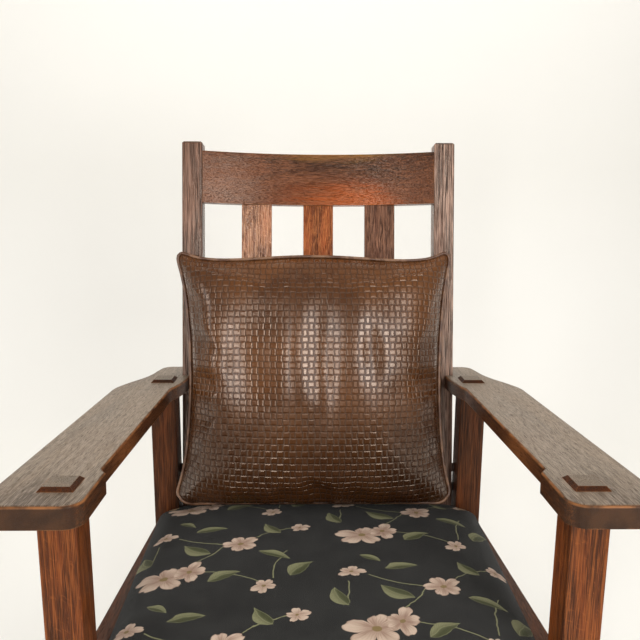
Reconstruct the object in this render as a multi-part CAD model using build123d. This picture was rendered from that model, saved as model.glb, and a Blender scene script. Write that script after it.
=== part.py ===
from build123d import *
import math
import os

os.makedirs("parts", exist_ok=True)

# A mission rocking chair in quartered oak, with a padded seat and a loose leather pillow.
# Sizes are in millimetres. The chair is drawn with its legs upright: +X is the sitter's left
# hand seen from the front of the chair, +Y runs to the back, and z is 0 at the top of the arms
# over the front faces of the rear legs. At the end the whole chair leans back to its resting
# tilt, and its origin goes to the middle of its box, on the floor.

# Attitude
rest_tilt = 7.0
arm_fall = 3.3
back_recline = 10.1
arm_ref_height = 521.8

# Fits
joint_gap = 0.2
notch_gap = 0.4
soft_gap = 0.3
overrun = 60.0
far_out = 1200.0

# Legs
leg_width = 41.3
leg_depth = 44.5
leg_spacing = 482.6
front_half = 296.0
rear_half = 280.3
leg_round = 1.8
arm_tenon_shoulder = 2.0
arm_tenon_proud = 4.5
arm_tenon_bevel = 4.2
foot_tenon_shoulder = 9.0
foot_tenon_length = 20.0

# Arms
arm_thick = 21.0
arm_front_thick = 25.0
arm_overhang = 34.6
arm_front_outreach = 48.0
arm_front_inreach = 56.5
arm_mid_inreach = 49.5
arm_rear_inreach = 41.8
arm_rear_outreach = 50.7
arm_step_back = 106.0
arm_step_scoop = 11.0
arm_shoulder_ahead = 46.0
arm_tail_reach = 134.0
arm_tail_outreach = 2.7
arm_tail_inreach = 58.3
arm_tail_corner = 16.0
arm_corner = 21.0
arm_edge_round = 3.4
arm_tail_flare = 8.0
tail_outer_shares = ((0.12, 0.17), (0.42, 0.38), (0.64, 0.52), (0.84, 0.72))
tail_inner_shares = ((0.26, 0.13), (0.68, 0.29))

# Runners
runner_radius = 1080.0
runner_width = 38.0
runner_depth = 46.0
runner_front_reach = 80.0
runner_rear_reach = 175.0
runner_tip_round = 16.0
runner_edge_round = 2.5
contact_back = -123.5

# Rails of the seat
rail_thick = 22.0
rail_depth = 88.0
rail_drop = 238.0
rail_setback = 8.0
rail_tenon_thick = 10.0
rail_tenon_length = 16.0
rail_tenon_shoulder = 12.0
rail_round = 1.5
front_rail_arch = 16.0
rear_rail_thick = 38.0
rear_rail_setback = 6.0

# Cross stretchers
stretcher_thick = 20.0
stretcher_depth = 52.0
stretcher_drop = 372.0

# Back
post_width = 35.0
post_depth = 33.5
post_top = 401.5
post_gap = 3.0
post_face_back = 61.5
post_top_ease = 3.0
post_round = 1.8
post_stub = 14.0
post_stub_shoulder = 8.0
crest_height = 90.0
crest_below_top = 15.0
crest_thick = 22.0
crest_bow = 32.0
crest_face_back = 2.0
crest_tenon_length = 20.0
crest_tenon_thick = 10.0
crest_tenon_shoulder = 10.0
crest_round = 3.0
low_rail_top = -85.0
low_rail_height = 65.0
low_rail_thick = 20.0
low_rail_face_back = 13.0
slat_width = 53.0
slat_thick = 11.0
slat_pitch = 109.0
slat_tenon_length = 16.0
slat_tenon_shoulder = 4.0
slat_round = 1.2

# Seat
seat_front_gap = 3.7
seat_rear_inset = 16.3
seat_rear_gap = 8.0
seat_front_setback = 2.0
seat_front_corner = 22.0
seat_rear_corner = 44.0
seat_crown = 48.0
cover_thick = 1.6
seat_board_thick = 20.0
seat_board_width = 52.0
web_thick = 1.2
web_width = 50.0
web_rows = 5
web_columns = 5
web_land = 30.0
hessian_thick = 1.0
dust_cloth_thick = 0.8
# Each level of the padding is (share of the crown, inset from the seat's edge)
pad_level_shares = (
    (0.0, 0.0), (0.42, 0.0), (0.62, 0.025), (0.76, 0.08), (0.87, 0.19), (0.96, 0.40), (1.0, 0.66))

# Corner blocks and the seat's fixings
block_leg = 68.0
block_thick = 30.0
screw_shank = 4.2
screw_head = 8.4
screw_head_depth = 3.4
screw_tip = 0.6
seat_screw_length = 42.0
block_screw_length = 50.0
block_screw_side_share = 0.3
back_screw_length = 58.0
back_screw_drops = (165.0, 200.0)
plug_width = 10.0
plug_depth = 6.0
spacer_width = 15.0
runner_screw_length = 70.0
runner_screw_head_sink = 9.0

# Pillow
pillow_side_gap = 12.5
pillow_height = 412.0
pillow_half_thick = 76.0
pillow_side_draw = 17.0
pillow_end_draw = 8.0
pillow_corner = 13.0
crown_straight_share = 0.75
pillow_seam_ahead = 57.5
pillow_offset = -7.5
pillow_rest = 37.1
leather_thick = 1.8
piping_width = 5.0
zip_length = 300.0
zip_width = 7.0
zip_thick = 3.0
# Each level of a pillow half is (share of its thickness, inset as a share of its half width)
pillow_level_shares = (
    (0.0, 0.0), (0.24, 0.03), (0.45, 0.10), (0.68, 0.24), (0.88, 0.47), (1.0, 0.78))

# Places that follow from these sizes
arm_front_out = front_half + arm_front_outreach
arm_front_in = front_half - arm_front_inreach
arm_mid_in = front_half - arm_mid_inreach
arm_rear_in = rear_half - arm_rear_inreach
arm_rear_out = rear_half + arm_rear_outreach
arm_tail_out = rear_half + arm_tail_outreach
arm_tail_in = rear_half - arm_tail_inreach
front_inner = front_half - leg_width
rear_inner = rear_half - leg_width
front_center = front_half - leg_width / 2
rear_center = rear_half - leg_width / 2
front_face = -leg_spacing
front_back = front_face + leg_depth
mid_depth = leg_depth / 2
skew = math.degrees(math.atan2(front_center - rear_center, leg_spacing))
seat_front_half = front_inner - seat_front_gap
seat_rear_half = rear_half - seat_rear_inset
pillow_width = (arm_rear_in - pillow_side_gap) * 2
post_out = rear_inner - post_gap
post_in = post_out - post_width
crest_top = post_top - crest_below_top
crest_bottom = crest_top - crest_height

# Frames: the slope of the arms, the plane on top of the seat's rails and the plane of the back
slope = Rot(X=-arm_fall)
seat_plane = Pos(0, 0, -rail_drop) * Rot(X=-arm_fall)
back_plane = Pos(0, post_face_back, 0) * Rot(X=-back_recline)


def span(x, y, z):
    """A box between the given pairs of limits."""
    size = Box(x[1] - x[0], y[1] - y[0], z[1] - z[0])
    return Pos((x[0] + x[1]) / 2, (y[0] + y[1]) / 2, (z[0] + z[1]) / 2) * size


def grown_span(x, y, z, gap):
    """The same box with a gap added on every side."""
    grown = [(low - gap, high + gap) for low, high in (x, y, z)]
    return span(*grown)


def flip(shape):
    """The same piece on the other side of the chair."""
    return mirror(shape, about=Plane.YZ)


def both(shape):
    """A piece and its mirror image."""
    return {"left": flip(shape), "right": shape}


def rounded(shape, radius, axis):
    """Round the long edges of a straight piece."""
    return fillet(shape.edges().filter_by(axis), radius)


def screw(length):
    """A countersunk wood screw along +Z, its head's face at z 0 and its tip above."""
    head = Cone(screw_head / 2, screw_shank / 2, screw_head_depth)
    head = Pos(0, 0, screw_head_depth / 2) * head
    shank = Cylinder(screw_shank / 2, length - screw_shank)
    shank = Pos(0, 0, (length - screw_shank) / 2) * shank
    tip = Cone(screw_shank / 2, screw_tip / 2, screw_shank)
    tip = Pos(0, 0, length - screw_shank / 2) * tip
    return (head + shank + tip).solid()


def screw_hole(length):
    """The hole that such a screw fills."""
    head = Cone(screw_head / 2, screw_shank / 2, screw_head_depth)
    shank = Cylinder(screw_shank / 2, length)
    return Pos(0, 0, screw_head_depth / 2) * head + Pos(0, 0, length / 2) * shank


pieces = {}

# Circle that the runners roll on, in the upright frame
tilt = math.radians(rest_tilt)
contact_y = contact_back * math.cos(tilt) + arm_ref_height * math.sin(tilt)
contact_z = contact_back * math.sin(tilt) - arm_ref_height * math.cos(tilt)
hub_y = contact_y - runner_radius * math.sin(tilt)
hub_z = contact_z + runner_radius * math.cos(tilt)


def runner_frame():
    """The upright plane through the middles of the right-hand legs' feet."""
    return Pos(rear_center, mid_depth, 0) * Rot(Z=skew)


def runner_disc(radius, width):
    """A disc about the hub of the runner's circle, in its upright plane."""
    disc = Rot(Y=90) * Cylinder(radius, width)
    return runner_frame() * (Pos(0, hub_y - mid_depth, hub_z) * disc)


inner_radius = runner_radius - runner_depth
disc_width = leg_width * 2
above_runner = runner_disc(inner_radius, disc_width)
above_tenon_end = runner_disc(inner_radius + foot_tenon_length, disc_width)
above_mortise_end = runner_disc(inner_radius + foot_tenon_length + joint_gap, disc_width)


def leg_limits(center, face):
    """The sides of a leg, in x and y."""
    half = leg_width / 2
    return (center - half, center + half), (face, face + leg_depth)


def inset_pair(pair, inset):
    """A pair of limits moved towards each other."""
    return pair[0] + inset, pair[1] - inset


long_z = (-arm_ref_height * 2, overrun)
everywhere = (-far_out, far_out)


def make_leg(center, face, arm_depth):
    """A leg with a through tenon at the arm and a stub tenon in the runner."""
    x, y = leg_limits(center, face)
    below_arm = slope * span(everywhere, everywhere, (-far_out, -arm_depth))
    body = rounded(span(x, y, long_z), leg_round, Axis.Z) & below_arm & above_runner
    tenon_z = (-arm_depth - arm_tenon_shoulder, arm_tenon_proud)
    below_top = slope * span(everywhere, everywhere, tenon_z)
    through = span(inset_pair(x, arm_tenon_shoulder), inset_pair(y, arm_tenon_shoulder), long_z)
    through = through & below_top
    crown_edges = through.faces().sort_by(Axis.Z)[-1].edges()
    through = chamfer(crown_edges, arm_tenon_bevel)
    stub = span(inset_pair(x, foot_tenon_shoulder), inset_pair(y, foot_tenon_shoulder),
                (long_z[0], -arm_ref_height + overrun * 2))
    stub = stub & above_tenon_end
    return body + through + stub


def arm_mortise(center, face):
    """The hole in the arm for a leg's through tenon."""
    x, y = leg_limits(center, face)
    inset = arm_tenon_shoulder - joint_gap
    return span(inset_pair(x, inset), inset_pair(y, inset), (-overrun, overrun))


def foot_mortise(center, face):
    """The hole in the runner for a leg's stub tenon."""
    x, y = leg_limits(center, face)
    inset = foot_tenon_shoulder - joint_gap
    stub = span(inset_pair(x, inset), inset_pair(y, inset), (long_z[0], -arm_ref_height + overrun * 2))
    return stub & above_mortise_end


legs = {
    "front_leg": (front_center, front_face, arm_front_thick),
    "rear_leg": (rear_center, 0, arm_thick),
}
legs_right = {name: make_leg(*place) for name, place in legs.items()}

# Runners: an arc band under both legs of a side
front_angle = math.degrees(math.asin((hub_y - front_face + runner_front_reach) / runner_radius))
rear_angle = math.degrees(math.asin((runner_rear_reach + leg_depth - hub_y) / runner_radius))
band_middle = (rear_angle - front_angle) / 2


def on_band(radius, angle):
    """A point of the runner's side view: y along the chair, z up, about the hub."""
    turn = math.radians(angle)
    return hub_y - mid_depth + radius * math.sin(turn), hub_z - radius * math.cos(turn)


under = ThreePointArc(on_band(runner_radius, -front_angle), on_band(runner_radius, band_middle),
                      on_band(runner_radius, rear_angle))
upper = ThreePointArc(on_band(inner_radius, rear_angle), on_band(inner_radius, band_middle),
                      on_band(inner_radius, -front_angle))
band = Wire([under, Line(under @ 1, upper @ 0), upper, Line(upper @ 1, under @ 0)])
band_face = Plane.YZ * make_face(band.edges())
runner = extrude(band_face, amount=runner_width / 2, both=True)
tip_edges = runner.edges().filter_by(Axis.X)
runner = fillet(tip_edges, runner_tip_round)
runner = fillet(runner.faces().filter_by(Axis.X).edges(), runner_edge_round)
runner = runner_frame() * runner
for center, face, _ in legs.values():
    runner = runner - foot_mortise(center, face)


# Rails
def side_rail():
    """The rail between a front and a rear leg, tenoned into both, and its mortises."""
    height = (-rail_depth, 0)
    place = seat_plane * Pos(rear_center, mid_depth, 0) * Rot(Z=skew)
    wide = (-leg_spacing * 2, leg_spacing)
    body = rounded(span((-rail_thick / 2, rail_thick / 2), wide, height), rail_round, Axis.Y)
    tongue = span((-rail_tenon_thick / 2, rail_tenon_thick / 2), wide,
                  inset_pair(height, rail_tenon_shoulder))
    mortise = grown_span((-rail_tenon_thick / 2, rail_tenon_thick / 2), wide,
                         inset_pair(height, rail_tenon_shoulder), joint_gap)
    between = span((0, front_half * 2), (front_back, 0), long_z)
    reach = rail_tenon_length
    into = span((0, front_half * 2), (front_back - reach, reach), long_z)
    deeper = span((0, front_half * 2), (front_back - reach - joint_gap, reach + joint_gap), long_z)
    return (place * body & between) + (place * tongue & into), place * mortise & deeper


def cross_rail(half, y, height, arch):
    """A rail between two legs, tenoned into both, with its underside arched by a given rise."""
    body = rounded(span((-half, half), y, height), rail_round, Axis.X)
    middle = (y[0] + y[1]) / 2
    if arch:
        rise = Pos(0, middle, height[0]) * Rot(X=90)
        radius = (half * half + arch * arch) / (2 * arch)
        body = body - rise * (Pos(0, arch - radius, 0) * Cylinder(radius, rail_thick * 2))
    thin = (middle - rail_tenon_thick / 2, middle + rail_tenon_thick / 2)
    tall = inset_pair(height, rail_tenon_shoulder)
    reach = half + rail_tenon_length
    stubs = span((-reach, -half), thin, tall) + span((half, reach), thin, tall)
    mortise = grown_span((-reach, reach), thin, tall, joint_gap)
    return body + stubs, mortise


rail_side, rail_side_mortise = side_rail()
fall = math.tan(math.radians(arm_fall))
front_rail_y = (front_face + rail_setback, front_face + rail_setback + rail_thick)
front_rail_top = -rail_drop - front_rail_y[1] * fall
front_rail, front_rail_mortise = cross_rail(
    front_inner, front_rail_y, (front_rail_top - rail_depth, front_rail_top), front_rail_arch)
rear_rail_y = (rear_rail_setback, rear_rail_setback + rear_rail_thick)
rear_rail, rear_rail_mortise = cross_rail(
    rear_inner, rear_rail_y, (-rail_drop - rail_depth, -rail_drop), 0)
stretchers = {}
for name, half, face in (("front_stretcher", front_inner, front_face), ("rear_stretcher", rear_inner, 0)):
    middle = face + mid_depth
    y = (middle - stretcher_thick / 2, middle + stretcher_thick / 2)
    stretchers[name] = cross_rail(half, y, (-stretcher_drop - stretcher_depth, -stretcher_drop), 0)

legs_right["front_leg"] -= rail_side_mortise + front_rail_mortise + stretchers["front_stretcher"][1]
legs_right["rear_leg"] -= rail_side_mortise + rear_rail_mortise + stretchers["rear_stretcher"][1]


# Arms
def arm_outline():
    """The arm seen from above, in its own plane: x across and y along the chair."""
    front = front_face - arm_overhang
    shoulder = -arm_shoulder_ahead
    step = front + arm_step_back
    tail_run = arm_tail_reach - arm_tail_corner - shoulder
    outer = [(arm_rear_out, shoulder)]
    for across, along in tail_outer_shares:
        outer.append((arm_rear_out - across * (arm_rear_out - arm_tail_out), shoulder + along * tail_run))
    outer.append((arm_tail_out, arm_tail_reach - arm_tail_corner))
    inner = [(arm_rear_in, shoulder)]
    for across, along in tail_inner_shares:
        inner.append((arm_rear_in - across * (arm_rear_in - arm_tail_in), shoulder + along * tail_run))
    inner.append((arm_tail_in, post_face_back - leg_round))
    taper = (arm_front_out - arm_rear_out) / (shoulder - front)
    end_corner = (arm_tail_out - arm_tail_corner, arm_tail_reach)
    edges = [
        Line((arm_front_out, front), outer[0]),
        Spline(outer, tangents=[(-taper, 1), (-taper * arm_tail_flare, 1)]),
        TangentArc(outer[-1], end_corner, tangent=(-taper * arm_tail_flare, 1)),
        Line(end_corner, (arm_tail_in, arm_tail_reach)),
        Line((arm_tail_in, arm_tail_reach), inner[-1]),
        Spline(inner[::-1], tangents=[(0, -1), (0, -1)]),
        Line(inner[0], (arm_mid_in, step)),
        Line((arm_mid_in, step), (arm_front_in, step - arm_step_scoop)),
        Line((arm_front_in, step - arm_step_scoop), (arm_front_in, front)),
        Line((arm_front_in, front), (arm_front_out, front)),
    ]
    return make_face(edges), step


arm_face, arm_step = arm_outline()
plate = extrude(arm_face, amount=-arm_thick)
front_corners = plate.edges().filter_by(Axis.Z).group_by(Axis.Y)[0]
plate = fillet(front_corners, arm_corner)
thicker = extrude(plate.faces().sort_by(Axis.Z)[-1], amount=-arm_front_thick)
thicker = thicker & span((0, arm_front_out * 2), (front_face * 2, arm_step), (-overrun, overrun))
arm = plate + thicker
arm = fillet(arm.faces().sort_by(Axis.Z)[-1].edges(), arm_edge_round)
arm = slope * arm
for center, face, _ in legs.values():
    arm = arm - arm_mortise(center, face)

# Back frame, in the plane of the back: x across, y through the back and z up along it
def back_box(x, y, z):
    """A box in the plane of the back."""
    return back_plane * span(x, y, z)


post_foot = -(rail_drop + post_face_back) / math.cos(math.radians(back_recline))
above_rail = span(everywhere, everywhere, (-rail_drop, far_out))
post_body = span((post_in, post_out), (0, post_depth), (post_foot, post_top))
post_body = chamfer(post_body.faces().sort_by(Axis.Z)[-1].edges(), post_top_ease)
post_body = rounded(post_body, post_round, Axis.Z)
post = back_plane * post_body & above_rail
stub_x = inset_pair((post_in, post_out), post_stub_shoulder)
stub_z = (-rail_drop - post_stub, -rail_drop)
post_foot_y = post_face_back - rail_drop * math.tan(math.radians(back_recline))
stub_y = (post_foot_y + post_round * 2, rear_rail_y[1] - post_round * 2)
post = post + span(stub_x, stub_y, stub_z)
stub_hole = grown_span(stub_x, stub_y, stub_z, joint_gap)
rear_rail = rear_rail - stub_hole - flip(stub_hole)
arm = arm - back_plane * grown_span((post_in, post_out), (0, post_depth), (post_foot, post_top), notch_gap)

# Crest rail: an arc in plan, bowed to the back
def bow_at(x):
    """How far the crest's face lies behind its ends at a given x."""
    radius = (post_in ** 2 + crest_bow ** 2) / (2 * crest_bow)
    return math.sqrt(radius ** 2 - x ** 2) - (radius - crest_bow)


def crest_edge(offset):
    """One long edge of the crest rail in plan."""
    face = crest_face_back + offset
    return ThreePointArc((-post_in, face), (0, face + crest_bow), (post_in, face))


crest_near = crest_edge(0)
crest_far = crest_edge(crest_thick)
crest_ends = [Line(crest_near @ 1, crest_far @ 1), Line(crest_far @ 0, crest_near @ 0)]
crest_face = make_face([crest_near, crest_ends[0], crest_far, crest_ends[1]])
crest = extrude(crest_face, amount=crest_height)
crest = fillet(crest.faces().sort_by(Axis.Z)[-1].edges().sort_by(SortBy.LENGTH)[-2:], crest_round)
crest = Pos(0, 0, crest_bottom) * crest
tenon_face = crest_face_back + (crest_thick - crest_tenon_thick) / 2
crest_tenon_y = (tenon_face, tenon_face + crest_tenon_thick)
crest_tenon_z = inset_pair((crest_bottom, crest_top), crest_tenon_shoulder)
crest_reach = post_in + crest_tenon_length
crest_stub = span((post_in - crest_thick / 2, crest_reach), crest_tenon_y, crest_tenon_z)
crest = crest + crest_stub + flip(crest_stub)
crest_hole = grown_span((post_in, crest_reach), crest_tenon_y, crest_tenon_z, joint_gap)

# Lower rail of the back
low_z = (low_rail_top - low_rail_height, low_rail_top)
low_y = (low_rail_face_back, low_rail_face_back + low_rail_thick)
low_rail = rounded(span((-post_in, post_in), low_y, low_z), rail_round, Axis.X)
low_tenon_y = inset_pair(low_y, (low_rail_thick - crest_tenon_thick) / 2)
low_tenon_z = inset_pair(low_z, crest_tenon_shoulder)
low_stub = span((post_in, crest_reach), low_tenon_y, low_tenon_z)
low_rail = low_rail + low_stub + flip(low_stub)
low_hole = grown_span((post_in, crest_reach), low_tenon_y, low_tenon_z, joint_gap)
post = post - back_plane * (crest_hole + low_hole)

# Slats: each leans from the lower rail to the bowed crest
slats = {}
for name, place in (("left", -slat_pitch), ("centre", 0), ("right", slat_pitch)):
    foot_y = low_rail_face_back + low_rail_thick / 2
    head_y = crest_face_back + bow_at(place) + crest_thick / 2
    lean = math.degrees(math.atan2(head_y - foot_y, crest_bottom - low_rail_top))
    frame = Pos(place, foot_y, low_rail_top) * Rot(X=-lean)
    length = crest_bottom - low_rail_top
    body_x = (-slat_width / 2, slat_width / 2)
    body_y = (-slat_thick / 2, slat_thick / 2)
    body_z = (-overrun, length + overrun)
    body = frame * rounded(span(body_x, body_y, body_z), slat_round, Axis.Z)
    thin_x = inset_pair(body_x, slat_tenon_shoulder)
    thin_y = inset_pair(body_y, slat_tenon_shoulder / 2)
    tongue = frame * span(thin_x, thin_y, body_z)
    socket = frame * span(inset_pair(thin_x, -joint_gap), inset_pair(thin_y, -joint_gap), body_z)
    wide = (-post_in, post_in)
    deep = (-overrun * 2, overrun * 2)
    low = low_rail_top
    body = body & span(wide, deep, (low, crest_bottom))
    reach = slat_tenon_length
    tongue = tongue & span(wide, deep, (low - reach, crest_bottom + reach))
    socket = socket & span(wide, deep, (low - reach - joint_gap, crest_bottom + reach + joint_gap))
    slats[name] = back_plane * (body + tongue)
    crest = crest - socket
    low_rail = low_rail - socket

# Seat
seat_front = front_face + seat_front_setback
seat_rear = -seat_rear_gap
seat_span = seat_rear - seat_front


def seat_outline(inset, height):
    """The seat's edge, drawn in by an inset, as a wire at a height in the sloping frame."""
    front_half_in = seat_front_half - inset
    rear_half_in = seat_rear_half - inset
    corners = [
        (-front_half_in, seat_front + inset),
        (front_half_in, seat_front + inset),
        (rear_half_in, seat_rear - inset),
        (-rear_half_in, seat_rear - inset),
    ]
    outline = Polyline(*corners, close=True)
    face = make_face(outline)
    points = face.vertices().sort_by(Axis.Y)
    face = fillet(points[:2], seat_front_corner)
    points = face.vertices().sort_by(Axis.Y)
    face = fillet(points[-2:], seat_rear_corner)
    return Pos(0, 0, height) * face


def seat_form(skin):
    """The padded seat's outer form, less a skin all over but at its flat underside."""
    half_run = seat_span / 2
    faces = []
    for rise, inset in pad_level_shares:
        height = max(rise * seat_crown - skin, 0)
        faces.append(seat_outline(inset * half_run + skin, height))
    return loft(faces, ruled=True)


seat_outer = seat_form(0)
seat_inner = seat_form(cover_thick)
board_top = dust_cloth_thick + seat_board_thick
web_top = board_top + web_thick * 2
hessian_top = web_top + hessian_thick
seat_cover = seat_outer - seat_inner
wide_slab = (-seat_rear_half * 2, seat_rear_half * 2)
long_slab = (front_face * 2, -front_face)


def slab(low, high):
    """Everything between two heights of the sloping frame."""
    return span(wide_slab, long_slab, (low, high))


dust_cloth = seat_inner & slab(0, dust_cloth_thick)
board_ring = seat_inner & slab(dust_cloth_thick, board_top)
window_x = min(seat_front_half, seat_rear_half) - cover_thick - seat_board_width
window_y = (seat_front + seat_board_width, seat_rear - seat_board_width)
deep_z = (-seat_crown, seat_crown * 2)
board_ring = board_ring - span((-window_x, window_x), window_y, deep_z)
boards = {
    "front": board_ring & span(wide_slab, (long_slab[0], window_y[0]), deep_z),
    "rear": board_ring & span(wide_slab, (window_y[1], long_slab[1]), deep_z),
    "left": board_ring & span((wide_slab[0], 0), window_y, deep_z),
    "right": board_ring & span((0, wide_slab[1]), window_y, deep_z),
}

long_webs = []
cross_webs = []
for index in range(web_columns):
    share = (index + 1) / (web_columns + 1)
    x = window_x * 2 * share - window_x
    y = inset_pair(window_y, -web_land)
    long_webs.append(span((x - web_width / 2, x + web_width / 2), y, (board_top, board_top + web_thick)))
for index in range(web_rows):
    share = (index + 1) / (web_rows + 1)
    y = window_y[0] + (window_y[1] - window_y[0]) * share
    x = (-window_x - web_land, window_x + web_land)
    cross_webs.append(span(x, (y - web_width / 2, y + web_width / 2), (board_top + web_thick, web_top)))
hessian = seat_inner & slab(web_top, hessian_top)
hessian = hessian & span((-seat_front_half + web_land / 2, seat_front_half - web_land / 2),
                         (seat_front + web_land / 2, seat_rear - web_land / 2), deep_z)
padding = seat_inner & slab(board_top, seat_crown)
for cut in long_webs + cross_webs + [hessian]:
    padding = padding - cut


# Corner blocks inside the rails, a screw through each into its leg, and one up into the seat
side_inner_rear = rear_center - rail_thick / 2 / math.cos(math.radians(skew))
side_taper = (front_center - rear_center) / leg_spacing


def side_inner(y):
    """The inner face of a side rail at a given y."""
    return side_inner_rear + (mid_depth - y) * side_taper - joint_gap


rail_back = front_rail_y[1]
front_block_points = [
    (front_inner - block_leg, rail_back),
    (front_inner, rail_back),
    (front_inner, front_back),
    (side_inner(front_back), front_back),
    (side_inner(rail_back + block_leg), rail_back + block_leg),
]
rear_block_points = [
    (rear_inner - block_leg, rear_rail_y[0]),
    (rear_inner, rear_rail_y[0]),
    (rear_inner, 0),
    (side_inner(0), 0),
    (side_inner(-block_leg), -block_leg),
]
corner_blocks = []
block_screws = []
seat_screws = []
seat_screw_holes = []
block_slab = seat_plane * slab(-block_thick, 0)
for points, leg_name in ((front_block_points, "front_leg"), (rear_block_points, "rear_leg")):
    block_face = make_face(Polyline(*points, close=True))
    prism = extrude(Pos(0, 0, -rail_drop * 2) * block_face, amount=rail_drop * 2)
    block = block_slab & prism
    corner = Vector(*points[2])
    inner_end = Vector(*points[0])
    outer_end = Vector(*points[4])
    middle = (inner_end + outer_end) * 0.5
    heading = math.degrees(math.atan2(corner.Y - middle.Y, corner.X - middle.X))
    drop = -rail_drop - middle.Y * fall - block_thick / 2
    into_leg = Pos(middle.X, middle.Y, drop) * Rot(Z=heading) * Rot(Y=90)
    block_screws.append(into_leg * screw(block_screw_length))
    hole = into_leg * screw_hole(block_screw_length)
    block = block - hole
    legs_right[leg_name] = legs_right[leg_name] - hole
    sideways = (inner_end - middle) * block_screw_side_share * 2
    upward = middle + sideways + (corner - middle) * block_screw_side_share
    into_seat = seat_plane * Pos(upward.X, upward.Y, -block_thick)
    seat_screws.append(into_seat * screw(seat_screw_length))
    seat_hole = into_seat * screw_hole(seat_screw_length)
    seat_screw_holes += [seat_hole, flip(seat_hole)]
    corner_blocks.append(block - seat_hole)

# Screws through the rear legs into the back's posts, with plugs and spacers
back_screws = []
plugs = []
spacers = []
recline = math.tan(math.radians(back_recline))
for drop in back_screw_drops:
    post_face = post_face_back - drop * recline
    y = (post_face + leg_depth) / 2
    from_side = Rot(Y=-90)
    head_at = rear_half - plug_depth - joint_gap
    into_post = Pos(head_at, y, -drop) * from_side
    back_screws.append(into_post * screw(back_screw_length))
    hole = into_post * screw_hole(back_screw_length)
    plug_place = Pos(rear_half - plug_depth / 2, y, -drop) * from_side
    bore = plug_place * Cylinder(plug_width / 2, plug_depth + joint_gap * 2)
    legs_right["rear_leg"] = legs_right["rear_leg"] - hole - bore
    post = post - hole
    plugs.append(plug_place * Cylinder(plug_width / 2, plug_depth))
    ring = Cylinder(spacer_width / 2, post_gap) - Cylinder(screw_shank / 2 + joint_gap, post_gap * 2)
    spacers.append(Pos(rear_inner - post_gap / 2, y, -drop) * from_side * ring)

# Screws from under the runners into the legs' feet
runner_screws = []
for name, (center, face, _) in legs.items():
    y = face + mid_depth
    under_z = hub_z - math.sqrt(runner_radius ** 2 - (y - hub_y) ** 2)
    upward = Pos(center, y, under_z + runner_screw_head_sink)
    runner_screws.append(upward * screw(runner_screw_length))
    hole = upward * screw_hole(runner_screw_length)
    well = Pos(center, y, under_z) * Cylinder(screw_head / 2 + joint_gap, runner_screw_head_sink * 2)
    runner = runner - hole - well
    legs_right[name] = legs_right[name] - hole


# Pillow, drawn in the plane of the back, its lower corners on the seat
recline_turn = math.radians(back_recline)
fall_turn = math.radians(arm_fall)
seam_at_zero_y = post_face_back - pillow_seam_ahead * math.cos(recline_turn)
seam_at_zero_z = pillow_seam_ahead * math.sin(recline_turn) + rail_drop
rise_at_zero = seam_at_zero_z * math.cos(fall_turn) + seam_at_zero_y * math.sin(fall_turn)
lowest = pillow_rest + soft_gap + piping_width + joint_gap
pillow_bottom = (lowest - rise_at_zero) / math.cos(recline_turn - fall_turn)
pillow_middle = pillow_bottom + pillow_height / 2


def pillow_section(depth, inset, draw_share):
    """The pillow's outline at a depth before the back, with its sides drawn in."""
    half_x = pillow_width / 2 - inset
    half_z = pillow_height / 2 - inset
    side = pillow_side_draw * draw_share
    end = pillow_end_draw * draw_share
    points = [(-half_x, -half_z), (half_x, -half_z), (half_x, half_z), (-half_x, half_z)]
    middles = [(0, -half_z + end), (half_x - side, 0), (0, half_z - end), (-half_x + side, 0)]
    arcs = []
    for index, middle in enumerate(middles):
        arcs.append(ThreePointArc(points[index], middle, points[(index + 1) % len(points)]))
    face = make_face(arcs)
    face = fillet(face.vertices(), pillow_corner)
    plane = Plane(origin=(pillow_offset, depth, pillow_middle), x_dir=(1, 0, 0), z_dir=(0, -1, 0))
    return plane * face


def pillow_half(skin, heading):
    """Half of the pillow's form, from its seam to its crown, less a skin."""
    sections = []
    for rise, inset in pillow_level_shares:
        depth = -pillow_seam_ahead + heading * rise * (pillow_half_thick - skin)
        draw = 1 - rise * crown_straight_share
        sections.append(pillow_section(depth, inset * pillow_height / 2 + skin, draw))
    return loft(sections, ruled=True)


piping_out = soft_gap + joint_gap + piping_width / 2
seam_path = pillow_section(-pillow_seam_ahead, -piping_out, 1).face().outer_wire()
ring_plane = Plane(origin=seam_path @ 0, z_dir=seam_path % 0)
piping = sweep(ring_plane * Circle(piping_width / 2), path=seam_path)
front_inner_form = pillow_half(leather_thick, -1)
rear_inner_form = pillow_half(leather_thick, 1)
zip_low = pillow_bottom + pillow_end_draw + leather_thick + zip_thick
zip_strip = span((pillow_offset - zip_length / 2, pillow_offset + zip_length / 2),
                 (-pillow_seam_ahead - zip_width / 2, -pillow_seam_ahead + zip_width / 2),
                 (zip_low, zip_low + zip_thick))
pillow = {
    "pillow_front_panel": pillow_half(0, -1) - front_inner_form,
    "pillow_back_panel": pillow_half(0, 1) - rear_inner_form,
    "pillow_filling": front_inner_form + rear_inner_form - zip_strip,
    "pillow_piping": piping,
    "pillow_zip": zip_strip,
}
for name, piece in pillow.items():
    pieces[name] = back_plane * piece

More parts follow.
